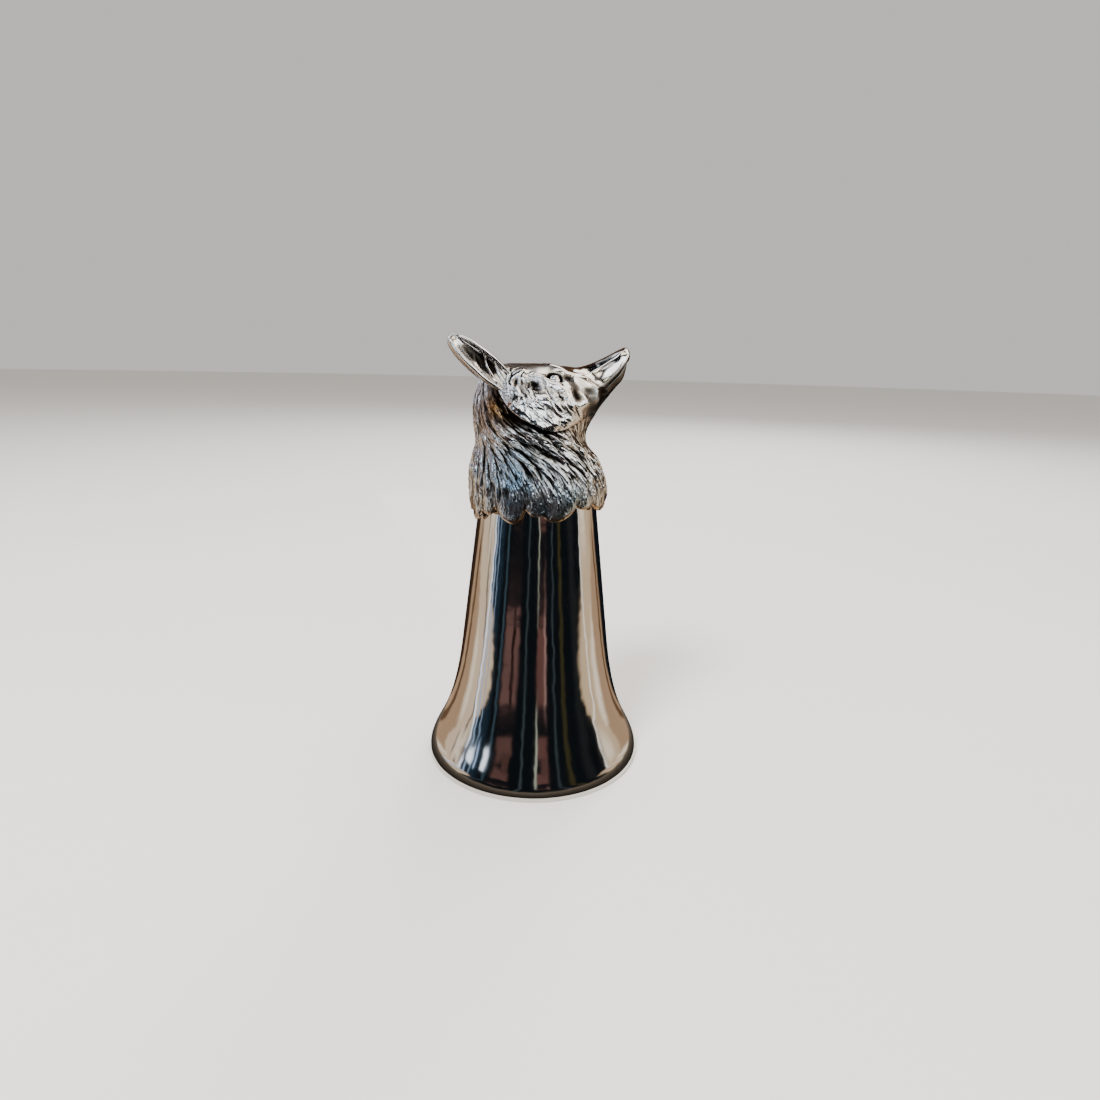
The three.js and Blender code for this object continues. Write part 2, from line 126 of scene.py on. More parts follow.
def blurred(values: Array, radius: int) -> Array:
    """Mean of a grid over squares, twice over, with the columns joined round.

    Args:
        values: the grid.
        radius: points that a square reaches to each side.

    Returns:
        The blurred grid.
    """
    for _ in range(2):
        for axis, mode in ((0, "edge"), (1, "wrap")):
            pad = [(0, 0), (0, 0)]
            pad[axis] = (radius + 1, radius)
            sums = np.cumsum(np.pad(values, pad, mode=mode), axis=axis)
            high = np.take(sums, np.arange(2 * radius + 1, sums.shape[axis]), axis=axis)
            low = np.take(sums, np.arange(0, sums.shape[axis] - 2 * radius - 1), axis=axis)
            values = (high - low) / (2 * radius + 1)
    return values


def grid_quads(rows: int, columns: int, closed: bool = False) -> list[list[int]]:
    """Faces of a grid whose outer side is where rows cross columns.

    Args:
        rows: rows of points, which run one after another.
        columns: points in each row.
        closed: whether the last column joins the first.

    Returns:
        Four corners for each face.
    """
    wide = columns if closed else columns - 1
    row, column = np.meshgrid(np.arange(rows - 1), np.arange(wide), indexing="ij")
    a = row * columns + column
    b = row * columns + (column + 1) % columns
    return np.stack([a, a + columns, b + columns, b], axis=-1).reshape(-1, 4).tolist()


def fan(ring: Array, middle: int, upwards: bool) -> list[list[int]]:
    """Triangles between a run of points and one middle point, with the winding of grid_quads.

    Args:
        ring: vertex numbers of the run.
        middle: number of the middle point.
        upwards: whether the middle lies past the grid's last row, or before its first.

    Returns:
        Three corners for each face.
    """
    a, b = ring[:-1], ring[1:]
    m = np.full(len(a), middle)
    order = [a, m, b] if upwards else [m, a, b]
    return np.stack(order, axis=-1).tolist()


def tube(rows: int, columns: int) -> list[list[int]]:
    """Faces of a closed grid whose two ends are fanned to the two points that follow it.

    Args:
        rows: rows of points, which run one after another.
        columns: points in each row.

    Returns:
        The corners of each face.
    """
    ring, count = np.append(np.arange(columns), 0), rows * columns
    ends = fan(ring, count, upwards=False) + fan(ring + count - columns, count + 1, upwards=True)
    return grid_quads(rows, columns, closed=True) + ends


def smooth_mesh(name: str, points: Array, faces: list[list[int]]) -> bpy.types.Mesh:
    """A smooth shaded mesh of points in metres.

    Args:
        name: the mesh's name.
        points: its vertices.
        faces: vertex numbers of each face.

    Returns:
        The new mesh.
    """
    mesh = bpy.data.meshes.new(name)
    mesh.from_pydata(points.reshape(-1, 3).tolist(), [], faces)
    mesh.polygons.foreach_set("use_smooth", np.ones(len(mesh.polygons), bool))
    return mesh


def add_object(name: str, data: bpy.types.ID) -> bpy.types.Object:
    """Put a new object with this data into the scene.

    Args:
        name: the object's name.
        data: its mesh, camera or light.

    Returns:
        The new object.
    """
    item = bpy.data.objects.new(name, data)
    bpy.context.scene.collection.objects.link(item)
    return item


def facing(side: Array, up: Array, back: Array, place: Array) -> Matrix:
    """Matrix of a camera or lamp at a place, from its own three directions."""
    columns = np.stack([side, up, back, place], axis=1)
    return Matrix([*columns.tolist(), [0, 0, 0, 1]])


def make_piece(
    name: str,
    points: Array,
    faces: list[list[int]],
    finish: Material,
    normals: Array | None = None,
    values: dict[str, Array] | None = None,
) -> bpy.types.Object:
    """A smooth shaded object that rides with the cup.

    Args:
        name: the piece's name.
        points: its vertices in millimetres, one row each.
        faces: vertex numbers of each face, counted anticlockwise from outside.
        finish: its material.
        normals: shading normals, one for each vertex, or None to work them out.
        values: numbers for each vertex that the material reads, by name.

    Returns:
        The new object.
    """
    mesh = smooth_mesh(name, points * MM, faces)
    for key, value in (values or {}).items():
        attribute = mesh.attributes.new(key, "FLOAT", "POINT")
        attribute.data.foreach_set("value", np.asarray(value, np.float32))
    mesh.update()
    if normals is not None:
        mesh.normals_split_custom_set_from_vertices(unit(normals).tolist())
    mesh.materials.append(finish)
    piece = add_object(name, mesh)
    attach(piece, "root")
    LOG.info("%s: %d vertices, %d faces", name, len(mesh.vertices), len(mesh.polygons))
    return piece


# Finishes


def linear(colour: str) -> tuple[float, float, float, float]:
    """Linear colour for an sRGB one written as #rrggbb.

    Args:
        colour: the sRGB colour.

    Returns:
        Red, green and blue, and an alpha of 1.
    """
    parts = [int(colour[i:i + 2], 16) / 255 for i in (1, 3, 5)]
    r, g, b = (c / 12.92 if c <= 0.04045 else ((c + 0.055) / 1.055) ** 2.4 for c in parts)
    return (r, g, b, 1.0)


class Surface:
    """A new material, and short ways to add the nodes that the finishes share."""

    def __init__(self, name: str) -> None:
        """Start with a bare Principled shader.

        Args:
            name: the material's name.
        """
        self.material = bpy.data.materials.new(name)
        self.material.use_nodes = True
        self.tree = self.material.node_tree
        self.shader = self.tree.nodes.get("Principled BSDF")
        self.place = self.node("TexCoord").outputs["Object"]

    def feed(self, socket: Socket, value: object) -> None:
        """Link an input to the output socket given, or else set it to the value.

        Args:
            socket: the input.
            value: an output socket, or a plain value.
        """
        if isinstance(value, Socket):
            self.tree.links.new(value, socket)
        else:
            socket.default_value = value

    def node(self, kind: str, settings: dict | None = None, inputs: dict | None = None) -> bpy.types.Node:
        """Add a node.

        Args:
            kind: its class name, without ShaderNode.
            settings: values for the node's own properties.
            inputs: for an input's name or number, a value or the output socket that feeds it.

        Returns:
            The new node.
        """
        node = self.tree.nodes.new("ShaderNode" + kind)
        for key, value in (settings or {}).items():
            setattr(node, key, value)
        for key, value in (inputs or {}).items():
            self.feed(node.inputs[key], value)
        return node

    def noise(self, scale: float, detail: float, **others: object) -> Socket:
        """Noise over the object's coordinates, with so many cells in a metre."""
        inputs = {"Vector": self.place, "Scale": scale, "Detail": detail, **others}
        return self.node("TexNoise", inputs=inputs).outputs["Fac"]

    def bump(self, height: Socket, depth_mm: float, **others: object) -> Socket:
        """Normals bent as by a relief of that depth."""
        inputs = {"Height": height, "Distance": depth_mm * MM, "Strength": 1.0, **others}
        return self.node("Bump", inputs=inputs).outputs["Normal"]

    def remap(self, value: Socket, source: tuple[float, float], target: tuple[float, float]) -> Socket:
        """A value taken from one range to another, and held inside it."""
        keys = ("Value", "From Min", "From Max", "To Min", "To Max")
        return self.node("MapRange", inputs=dict(zip(keys, (value, *source, *target)))).outputs["Result"]

    def vertex_value(self, name: str) -> Socket:
        """The number that the piece carries under that name for each vertex."""
        return self.node("Attribute", {"attribute_name": name}).outputs["Fac"]

    def calculate(self, operation: str, *values: object, clamp: bool = False) -> Socket:
        """Result of arithmetic on the values."""
        settings = {"operation": operation, "use_clamp": clamp}
        return self.node("Math", settings, dict(enumerate(values))).outputs["Value"]

    def ramp(self, factor: Socket, stops: tuple[tuple[float, str], ...]) -> Socket:
        """Colour at the factor on a ramp through stops of place and sRGB colour.

        Args:
            factor: what the colour is read by.
            stops: place and colour of each stop.

        Returns:
            The socket that gives the colour.
        """
        node = self.node("ValToRGB", inputs={"Fac": factor})
        elements = node.color_ramp.elements
        while len(elements) < len(stops):
            elements.new(1.0)
        for element, (place, colour) in zip(elements, stops):
            element.position = place
            element.color = linear(colour)
        return node.outputs["Color"]

    def dress(self, inputs: dict[str, object]) -> Material:
        """Feed the shader's inputs by name, and hand over the material.

        Args:
            inputs: for an input's name, a value or an output socket.

        Returns:
            The material.
        """
        for key, value in inputs.items():
            self.feed(self.shader.inputs[key], value)
        return self.material

    def metal(self, colour: object, roughness: object, normal: Socket) -> Material:
        """Finish it as a metal, each input a value or an output socket."""
        return self.dress({"Metallic": 1.0, "Base Color": colour, "Roughness": roughness, "Normal": normal})


@dataclass(frozen=True)
class PolishedPewter:
    """Pewter spun on a lathe and buffed: a mirror with faint rings from the last buffing."""

    colour: str = "#cdcac4"
    # Cloudy patches of softer and sharper reflections, from handling
    roughness: tuple[float, float] = (0.0525, 0.1125)
    cloud_scale: float = 55.0
    # The rings are about 0.05 mm apart on the metal, and drawn coarser so that they show
    ring_mm: float = 0.3
    ring_length_mm: float = 40.0
    ring_depth_mm: float = 0.0035
    # Slight unevenness left by the spinning, which makes the edges of reflections waver
    wave_mm: float = 6.0
    wave_depth_mm: float = 0.09

    def material(self) -> Material:
        """Build the material.

        Returns:
            The new material.
        """
        surface = Surface("spun_and_buffed_pewter")
        stretch = (1 / (self.ring_length_mm * MM),) * 2 + (1 / (self.ring_mm * MM),)
        stretched = surface.node("Mapping", inputs={"Vector": surface.place, "Scale": stretch})
        rings = surface.noise(1.0, 3.0, Vector=stretched.outputs["Vector"], Roughness=0.6)
        dents = surface.noise(1 / (self.wave_mm * MM), 1.0)
        bent = surface.bump(dents, self.wave_depth_mm, Normal=surface.bump(rings, self.ring_depth_mm))
        rough = surface.remap(surface.noise(self.cloud_scale, 4.0), (0.35, 0.7), self.roughness)
        return surface.metal(linear(self.colour), rough, bent)


@dataclass(frozen=True)
class AntiquedPewter:
    """Cast pewter blackened with an acid patina and polished back: dark in the carving's
    hollows, bright on its ridges, with a fine cast grain left where the buff didn't reach."""

    # Colours of the metal by relief and painted shade, from the hollows over the flanks to the ridges
    stops: tuple = ((0.06, "#15120f"), (0.3, "#77716a"), (0.5, "#e3e1dd"))
    # Painted reflections, multiplied into the colour: a steel blue sheen on the mane, and reflected
    # wood as bronze behind the cheek: the vertex value that says where, the colour, and the patches in a
    # metre
    reflection_tints: tuple = (("blue_sheen", "#7ea3bb", 90.0), ("warm_reflection", "#d3a566", 140.0))
    # Uneven wear: its patches in a metre, and its depth against the relief's
    wear_scale: float = 180.0
    wear: float = 0.35
    # Roughness in hollows and on ridges, its share on buffed places, and the mane's satin
    roughness: tuple[float, float] = (0.42, 0.14)
    buffed_share: float = 0.45
    satin: float = 0.1
    grain_mm: float = 0.35
    grain_depth_mm: float = 0.006

    def material(self) -> Material:
        """Build the material.

        It reads vertex values: relief_and_shade, from 0 in hollows and painted shade to 1 on
        ridges, buffed, which is 1 on bare polished places, and the shares of the painted warm
        reflection and the painted blue sheen.

        Returns:
            The new material.
        """
        surface = Surface("cast_pewter_antiqued")
        patches = surface.noise(self.wear_scale, 5.0)
        worn = surface.calculate("MULTIPLY_ADD", patches, self.wear, -self.wear / 2)
        # The vertex value holds the relief, which the patina follows, and painted shade
        height = surface.calculate("ADD", surface.vertex_value("relief_and_shade"), worn, clamp=True)
        colour = surface.ramp(height, self.stops)
        # Multiply in the painted reflections: the blue sheen and the warm reflected wood
        for name, tint, scale in self.reflection_tints:
            patches = surface.remap(surface.noise(scale, 2.0), (0.35, 0.6), (0.3, 1.0))
            share = surface.calculate("MULTIPLY", surface.vertex_value(name), patches)
            mixed = surface.node("Mix", {"data_type": "RGBA", "blend_type": "MULTIPLY"}, {
                0: share, 6: colour, 7: linear(tint),
            })
            colour = mixed.outputs[2]
        rough = surface.remap(height, (0.15, 0.65), self.roughness)
        polish = surface.remap(surface.vertex_value("buffed"), (0.0, 1.0), (1.0, self.buffed_share))
        satin = surface.calculate("MULTIPLY", surface.vertex_value("blue_sheen"), self.satin)
        gloss = surface.calculate("MULTIPLY_ADD", rough, polish, satin)
        grain = surface.noise(1 / (self.grain_mm * MM), 3.0)
        return surface.metal(colour, gloss, surface.bump(grain, self.grain_depth_mm))


@dataclass(frozen=True)
class SoftSolder:
    """Tin solder as it flowed: dull and slightly lumpy."""

    colour: str = "#a3a19d"
    roughness: float = 0.45
    lump_mm: float = 1.5
    lump_depth_mm: float = 0.1

    def material(self) -> Material:
        """Build the material.

        Returns:
            The new material.
        """
        surface = Surface("flowed_tin_solder")
        lumps = surface.noise(1 / (self.lump_mm * MM), 2.0)
        return surface.metal(linear(self.colour), self.roughness, surface.bump(lumps, self.lump_depth_mm))


# Beaker


@dataclass
class Beaker:
    """The spun beaker: upright band at the mouth, Bezier flare, straight taper, closed end."""

    mouth_radius: float = 36.1
    mouth_band: float = 1.8
    flare_top: float = 41.4
    flare_top_radius: float = 24.4
    taper: float = 0.118
    pull_low: float = 9.2
    pull_high: float = 30.0
    mouth_lean: float = 0.159
    height: float = 97.0
    wall: float = 1.2
    lip_flat: float = 0.6
    shoulder_radius: float = 4.2
    segments: int = 320
    flare_rows: int = 46
    taper_rows: int = 30
    shoulder_rows: int = 10
    lip_rows: int = 6

    def taper_radius(self, z: float | Array) -> float | Array:
        """Outside radius at a height above the flare."""
        return self.flare_top_radius - self.taper * (z - self.flare_top)

    def wall_line(self, inset: float) -> Array:
        """Wall from the mouth band to the end of the taper, set back by inset.

        A cubic Bezier curve makes the flare, and a straight line the taper.

        Args:
            inset: distance from the outside into the metal.

        Returns:
            Radius and height of each point, one row each.
        """
        corners = np.array([
            [self.mouth_radius, self.mouth_band],
            [self.mouth_radius - self.mouth_lean * self.pull_low, self.mouth_band + self.pull_low],
            [self.flare_top_radius + self.taper * self.pull_high, self.flare_top - self.pull_high],
            [self.flare_top_radius, self.flare_top],
        ])
        t = np.linspace(0, 1, self.flare_rows)[:, None]
        flare = ((1 - t) ** 3 * corners[0] + 3 * t * (1 - t) ** 2 * corners[1]
                 + 3 * t ** 2 * (1 - t) * corners[2] + t ** 3 * corners[3])
        z = np.linspace(self.flare_top, self.height - self.shoulder_radius, self.taper_rows)[1:]
        line = np.vstack([flare, np.stack([self.taper_radius(z), z], axis=1)])
        tangent = unit(np.gradient(line, axis=0))
        return line + inset * np.stack([-tangent[:, 1], tangent[:, 0]], axis=1)

    def shoulder_line(self, inset: float, top: float) -> Array:
        """Quarter circle from the wall to the closed end at height top.

        Args:
            inset: distance from the outside into the metal.
            top: height of the closed end's face.

        Returns:
            Radius and height of each point, one row each.
        """
        radius = self.shoulder_radius - inset
        wall = self.taper_radius(self.height - self.shoulder_radius) - inset
        turn = np.linspace(0, math.pi / 2, self.shoulder_rows)[1:]
        return np.stack([wall - radius * (1 - np.cos(turn)), top - radius * (1 - np.sin(turn))], axis=1)

    def lip_line(self, start: float, stop: float) -> Array:
        """Rounding of the lip between two turns: a half ellipse with a flat underneath.

        Args:
            start: turn in radians where it starts, 0 being outwards.
            stop: turn where it stops.

        Returns:
            Radius and height of each point, one row each.
        """
        middle = self.mouth_radius - self.wall / 2
        turn = np.linspace(start, stop, self.lip_rows)
        radius = (self.wall - self.lip_flat) / 2
        across = middle + np.sign(np.cos(turn)) * self.lip_flat / 2 + radius * np.cos(turn)
        return np.stack([across, radius * (1 + np.sin(turn))], axis=1)

    def profile(self) -> Array:
        """Radius and height of the whole wall, from the axis inside to the axis outside.

        Returns:
            One row for each point.
        """
        under, hair = -math.pi / 2, 1e-6
        inside, outside = (
            np.vstack([
                self.lip_line(start, stop), self.wall_line(inset),
                self.shoulder_line(inset, self.height - inset),
            ])
            for start, stop, inset in ((under - hair, -math.pi, self.wall), (under + hair, 0.0, 0.0))
        )
        return np.vstack([inside[::-1], outside])

    def build(self, finish: Material) -> None:
        """Spin the profile round the axis: x = r cos a, y = r sin a.

        Args:
            finish: its material.
        """
        radius, z = self.profile().T
        turn = np.linspace(0, 2 * math.pi, self.segments, endpoint=False)
        points = around(radius[:, None], turn, z[:, None])
        vertices = np.vstack([points.reshape(-1, 3), [[0.0, 0.0, z[0]], [0.0, 0.0, z[-1]]]])
        flipped = [face[::-1] for face in tube(len(radius), self.segments)]
        piece = make_piece("spun_beaker", vertices, flipped, finish)
        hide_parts("beaker")


# Head


@dataclass
class HeadForm:
    """The plain form of the fox head: closed sections from the hem of the mane to the nose.

    A place on the head is a station, counted from the hem, and a turn in degrees: 0 at the
    throat, 90 on the right side, 180 at the crown and 270 on the left side.
    """

    hem_level: float
    scale: float
    hem_fade: float = 1.7
    nose_reach: float = 1.3
    # Throat x, throat z, crown x, crown z, half breadth, where the breadth lies on the way from
    # throat to crown, and how full the curve is below and above it: 2 is an ellipse
    stations: Array = field(default_factory=lambda: np.array([
        [22.3, 0, -22, 0, 22.2, 0.5, 2, 2],
        [22.7, 3.7, -22.4, 4.1, 22.5, 0.5, 2, 2],
        [21.2, 8.7, -22, 9.5, 21.6, 0.5, 2, 2],
        [18.4, 13.9, -20.9, 14.7, 19.8, 0.5, 2, 2],
        [15.4, 18.5, -20, 19.7, 18.2, 0.5, 2, 2.1],
        [15.1, 22.1, -21, 26.1, 18.7, 0.46, 1.9, 2],
        [16.4, 25.3, -20.9, 32.5, 19.2, 0.42, 1.8, 1.8],
        [17.9, 28.1, -18.6, 38.7, 18.6, 0.4, 1.7, 1.65],
        [19.2, 30.2, -12.6, 42.4, 16.8, 0.4, 1.7, 1.6],
        [20.4, 31.8, -5, 43.3, 14.4, 0.4, 1.7, 1.65],
        [21.5, 33.2, 2.8, 42.9, 11.3, 0.4, 1.8, 1.9],
        [22.6, 34.6, 9.2, 41.2, 8, 0.42, 1.9, 2.2],
        [24, 36.4, 14.6, 43, 6.1, 0.48, 2, 2.3],
        [25.5, 38.6, 19.8, 45.3, 5, 0.52, 2, 2.3],
        [26.8, 41.4, 24, 47.5, 4, 0.55, 2, 2.2],
        [27.3, 44.1, 26.4, 48.7, 3, 0.55, 2, 2.1],
    ]))
    # Angle from the chest and drop below the hem's level: tips and notches in turn
    hem: Array = field(default_factory=lambda: np.array([
        [0, 1.2], [17, -0.8], [32, 1.1], [45, -1], [56, -0.4], [64, -1.2], [85, 2.7], [94, 0.6],
        [99, 1.1], [108, -1], [117, 3.6], [135, -0.2], [143, 2], [151, 1.2], [162, 4.6],
        [172, 1.3], [180, 2.8],
    ]))

    @property
    def last(self) -> int:
        """Number of the last station, past which the nose is a dome."""
        return len(self.stations) - 1

    @property
    def nose(self) -> float:
        """Station where the nose's dome has all but closed."""
        return self.last + 0.96

    def hem_drop(self, half: Array) -> Array:
        """Drop of the hem: a sine from each sharp notch to the round tip next to it.

        Args:
            half: degrees from the throat.

        Returns:
            Drawn millimetres below the hem's level.
        """
        i = np.clip(np.searchsorted(self.hem[:, 0], half), 1, len(self.hem) - 1)
        tip, notch = np.where(i % 2, i - 1, i), np.where(i % 2, i, i - 1)
        span = self.hem[tip, 0] - self.hem[notch, 0]
        share = np.clip((half - self.hem[notch, 0]) / span, 0, 1)
        rise = self.hem[tip, 1] - self.hem[notch, 1]
        return self.hem[notch, 1] + rise * np.sin(math.pi / 2 * share) ** 0.85

    def plain(self, s: Array, turn: Array) -> Array:
        """Points of the plain head as drawn, before it is scaled to the collar.

        Each section is a superellipse in two halves, in the plane through its throat and crown.
        Past the last station the section shrinks along a dome, and near the hem it drops.

        Args:
            s: stations.
            turn: degrees round the head.

        Returns:
            A point for each place.
        """
        s, turn = np.broadcast_arrays(np.asarray(s, float), np.asarray(turn, float))
        half = folded(turn)
        v = np.moveaxis(catmull(self.stations, np.clip(s, -0.5, self.last)), -1, 0)
        angle = np.radians(half)
        below = half < 90
        full = np.where(below, v[6], v[7])
        reach = np.abs(np.cos(angle)) ** (2 / full)
        share = np.where(below, v[5] * (1 - reach), v[5] + (1 - v[5]) * reach)
        wide = v[4] * np.clip(np.sin(angle), 0, None) ** (2 / full)
        point = np.stack([
            v[0] + share * (v[2] - v[0]), np.where(turn <= 180, -wide, wide), v[1] + share * (v[3] - v[1]),
        ], axis=-1)
        zero = np.zeros_like(v[0])
        throat, crown = np.stack([v[0], zero, v[1]], axis=-1), np.stack([v[2], zero, v[3]], axis=-1)
        dome = np.clip(s - self.last, 0, 1)[..., None] * math.pi / 2
        centre, chord = (throat + crown) / 2, unit(crown - throat)
        ahead = np.stack([chord[..., 2], zero, -chord[..., 0]], axis=-1)
        point = (point - centre) * np.cos(dome) + centre + ahead * self.nose_reach * np.sin(dome)
        fade = np.clip(1 - s / self.hem_fade, 0, None) ** 2
        point[..., 2] -= self.hem_drop(half) * fade
        return point

    def slopes(self, s: Array, turn: Array) -> tuple[Array, Array]:
        """Change of the plain point for one station, and for one degree of turn.

        Args:
            s: stations.
            turn: degrees round the head.

        Returns:
            Both changes, as vectors.
        """
        reach = 0.02
        low, high = np.maximum(s - reach, 0), np.minimum(s + reach, self.nose)
        up = (self.plain(high, turn) - self.plain(low, turn)) / (high - low)[..., None]
        across = (self.plain(s, (turn + 1) % 360) - self.plain(s, (turn - 1) % 360)) / 2
        return up, across

    def outward(self, s: Array, turn: Array) -> Array:
        """Outward directions of the plain head."""
        up, across = self.slopes(s, turn)
        return unit(np.cross(up, across))

    def placed(self, drawn: Array) -> Array:
        """Drawn points scaled to the collar and lifted to the hem."""
        return drawn * self.scale + np.array([0.0, 0.0, self.hem_level])

    @staticmethod
    def turned(half: float, side: Side) -> Array:
        """The turn that lies so many degrees from the throat on one side."""
        return np.array(float(half if side is Side.RIGHT else 360 - half))

    def spot(self, station: float, half: float, side: Side = Side.RIGHT) -> Array:
        """The plain drawn point at one place."""
        return self.plain(np.array(station), self.turned(half, side))


@dataclass
class Carving:
    """The large forms carved into the head: ruff, brows, cheeks, eyes, mouth and nose."""

    form: HeadForm
    # Station of the ruff's edge, its lift, and the station where the coat ends, at every 20
    # degrees from the throat
    ruff_edge: tuple = (7.1, 7, 6.6, 5.9, 5.32, 5.42, 5.85, 6.75, 7.5, 7.8)
    ruff_lift: tuple = (0, 0, 0.3, 1.1, 1.8, 2, 1.9, 1.5, 0.7, 0.2)
    coat_end: tuple = (6.3, 6.4, 6.8, 7.2, 7.4, 7.4, 7.8, 8.4, 9.1, 9.5)
    ruff_step: float = 0.18
    ruff_reach: float = 2.6
    # The tips of the ruff's fur stand out further
    ruff_flare: float = 1.4
    ruff_flare_reach: float = 1.0
    # Places along each ridge or cut, and its height and radius
    ridges: tuple = (
        ([[9.7, 149], [9.85, 141], [9.7, 128], [9.2, 112], [8.6, 94], [7.9, 68]], 0.75, 2.1),
        ([[7.6, 134], [7.9, 122], [8.15, 110], [8.1, 96]], 0.7, 2.2),
        ([[6.1, 118], [6.75, 104], [6.95, 90], [7.1, 76], [7.6, 62], [8.4, 50]], 1.1, 2.2),
        ([[4.1, 160], [4.5, 130], [4.85, 100], [4.5, 70], [3.8, 40]], 0.6, 2.4),
        # The muzzle's upper and lower edges
        ([[10.2, 124], [11.8, 122], [13.2, 126], [14.6, 132]], 0.25, 0.8),
        ([[9.6, 71], [11.2, 78], [12.5, 74], [13.8, 75], [15, 84]], 0.35, 0.7),
        # The whorl before the ear, and single deep cuts
        ([[7.75, 127], [7.95, 120], [7.75, 113]], -0.6, 0.3),
        ([[7.3, 112], [7.2, 118], [7.4, 124]], -0.55, 0.3),
        ([[7.55, 124], [7.6, 117]], -0.45, 0.28),
        ([[7.42, 120], [7.5, 114]], -0.4, 0.25),
        ([[7.35, 131], [7.05, 128]], -0.9, 0.4),
        ([[6.75, 134], [6.8, 125]], -0.5, 0.25),
        ([[6.5, 132], [6.5, 124]], -0.5, 0.25),
        ([[6.28, 129], [6.25, 122]], -0.45, 0.25),
        ([[6.95, 99], [7.2, 95], [7.25, 91]], -0.55, 0.3),
        ([[6.95, 93], [7.2, 88]], -0.5, 0.28),
        ([[7.35, 88], [7.2, 84]], -0.4, 0.25),
        ([[7.6, 106], [7.5, 99], [7.8, 92]], -0.3, 0.5),
        ([[8.2, 108], [7.9, 100], [7.75, 94]], 0.25, 0.7),
        ([[8.15, 127], [8.2, 121]], -0.4, 0.25),
        ([[5.0, 88], [4.8, 76], [4.35, 66], [4.3, 58]], 0.45, 0.45),
    )
    # The valley that runs down from the eye to the corner of the mouth, in the same way
    valley: tuple = ([[9.6, 118], [9.1, 106], [8.65, 95], [8.15, 84], [7.8, 76]], -1.0, 1.3)
    # Station, angle, height and radius of each rise or hollow
    swells: tuple = (
        (9.3, 120, -1.2, 2.0), (10.8, 110, 0.4, 2.8), (11.0, 142, 1.0, 3.0), (10.9, 180, 1.3, 3.6),
        (9.6, 76, 0.9, 2.6), (7.6, 96, 0.35, 5.0), (8.4, 103, -0.6, 1.8), (7.5, 146, 0.9, 2.4),
        (14.3, 100, 0.35, 2.6), (8.83, 120, -1.3, 2.4), (11.0, 100, -0.22, 1.1),
        (12.4, 152, -0.2, 1.4), (5.75, 86, 0.7, 1.6), (7.55, 119, -0.75, 1.2), (8.0, 137, 0.5, 1.2),
        (9.0, 84, 0.3, 1.2), (13.2, 26, 0.5, 2.6),
    )
    # Creases that run up from the hem's notches
    crease_depth: float = 0.6
    crease_half: float = 5.0
    crease_rise: float = 2.4
    # The eye's place, and one above it on the brow. In the socket: the floor under the ball, the
    # radius, breadth and extra depth of the ring round it, the rise from the ring to the lids
    # and how far the lids reach, each as a start and a run, and the lids' lowest and added height
    eye: tuple[float, float] = (8.83, 120)
    brow: tuple[float, float] = (9.7, 136)
    socket_floor: float = -1.3
    socket_ring: tuple = (1.85, 0.4, -0.8)
    lid_rise: tuple = (1.9, 0.42)
    lid_reach: tuple = (3.2, 0.85)
    lid_heights: tuple = (-0.5, 0.95)
    # The line between the lips: its places, depth and radius, and where it starts to show
    mouth: tuple = ([9.6, 66], [11.4, 64], [13.2, 62], [14.6, 60])
    mouth_cut: tuple = (0.6, 0.36)
    mouth_start: tuple = (10.5, 2.5)
    # The nostril's place, the height, radius and breadth of its rim, and its depth and radius
    nostril: tuple[float, float] = (15.3, 142)
    nostril_rim: tuple = (0.1, 0.75, 0.35)
    nostril_pit: tuple = (0.3, 0.4)

    def edge(self, half: Array) -> Array:
        """Station of the ruff's edge at an angle from the throat."""
        return catmull(self.ruff_edge, half / 20)

    def near_line(self, right: Array, places: list, steps: int = 14) -> Array:
        """Distance of points to a smooth line through places, in short straight pieces.

        Args:
            right: points on the right side.
            places: station and angle of each place.
            steps: points along the line.

        Returns:
            A distance for each point.
        """
        place = catmull(np.asarray(places, float), np.linspace(0, len(places) - 1, steps))
        line = self.form.plain(place[:, 0], place[:, 1])
        best = np.full(right.shape[:-1], np.inf)
        for start, run in zip(line[:-1], np.diff(line, axis=0)):
            share = np.clip((right - start) @ run / (run @ run), 0, 1)
            best = np.minimum(best, ((right - start - share[..., None] * run) ** 2).sum(axis=-1))
        return np.sqrt(best)

    def near_spot(self, right: Array, station: float, half: float) -> Array:
        """Distance of points to one place."""
        return np.linalg.norm(right - self.form.spot(station, half), axis=-1)

    @staticmethod
    def mirrored(point: Array) -> Array:
        """Points taken to the right side, at -Y."""
        return point * np.array([1.0, 0.0, 1.0]) - np.abs(point) * np.array([0.0, 1.0, 0.0])

    def height(self, s: Array, half: Array, right: Array) -> Array:
        """Height of the carved forms over the plain head, in drawn millimetres.

        Args:
            s: stations.
            half: degrees from the throat.
            right: the plain points there, taken to the right side.

        Returns:
            The sum of the ruff's step, the ridges, swells and creases, lips and nostrils, with
            the eye's socket cut in.
        """
        above = s - self.edge(half)
        lift = catmull(self.ruff_lift, half / 20)
        flare = self.ruff_flare * np.clip(lift / max(self.ruff_lift), 0, 1)
        lift = lift * bell(above, self.ruff_reach) + flare * bell(above, self.ruff_flare_reach)
        total = np.where(above > 0, lift, 0.0)
        for places, lift, radius in (*self.ridges, self.valley):
            total += lift * bell(self.near_line(right, places), radius)
        for station, angle, lift, radius in self.swells:
            total += lift * bell(self.near_spot(right, station, angle), radius)
        for angle in self.form.hem[1::2, 0]:
            crease = bell(half - angle, self.crease_half)
            total -= self.crease_depth * crease * (1 - smooth(s / self.crease_rise))
        depth, radius = self.mouth_cut
        start, run = self.mouth_start
        total -= depth * smooth((s - start) / run) * bell(self.near_line(right, self.mouth), radius)
        nostril = self.near_spot(right, *self.nostril)
        lift, middle, radius = self.nostril_rim
        total += lift * bell(nostril - middle, radius)
        depth, radius = self.nostril_pit
        total -= depth * bell(nostril, radius)
        return self.socket(total, right)

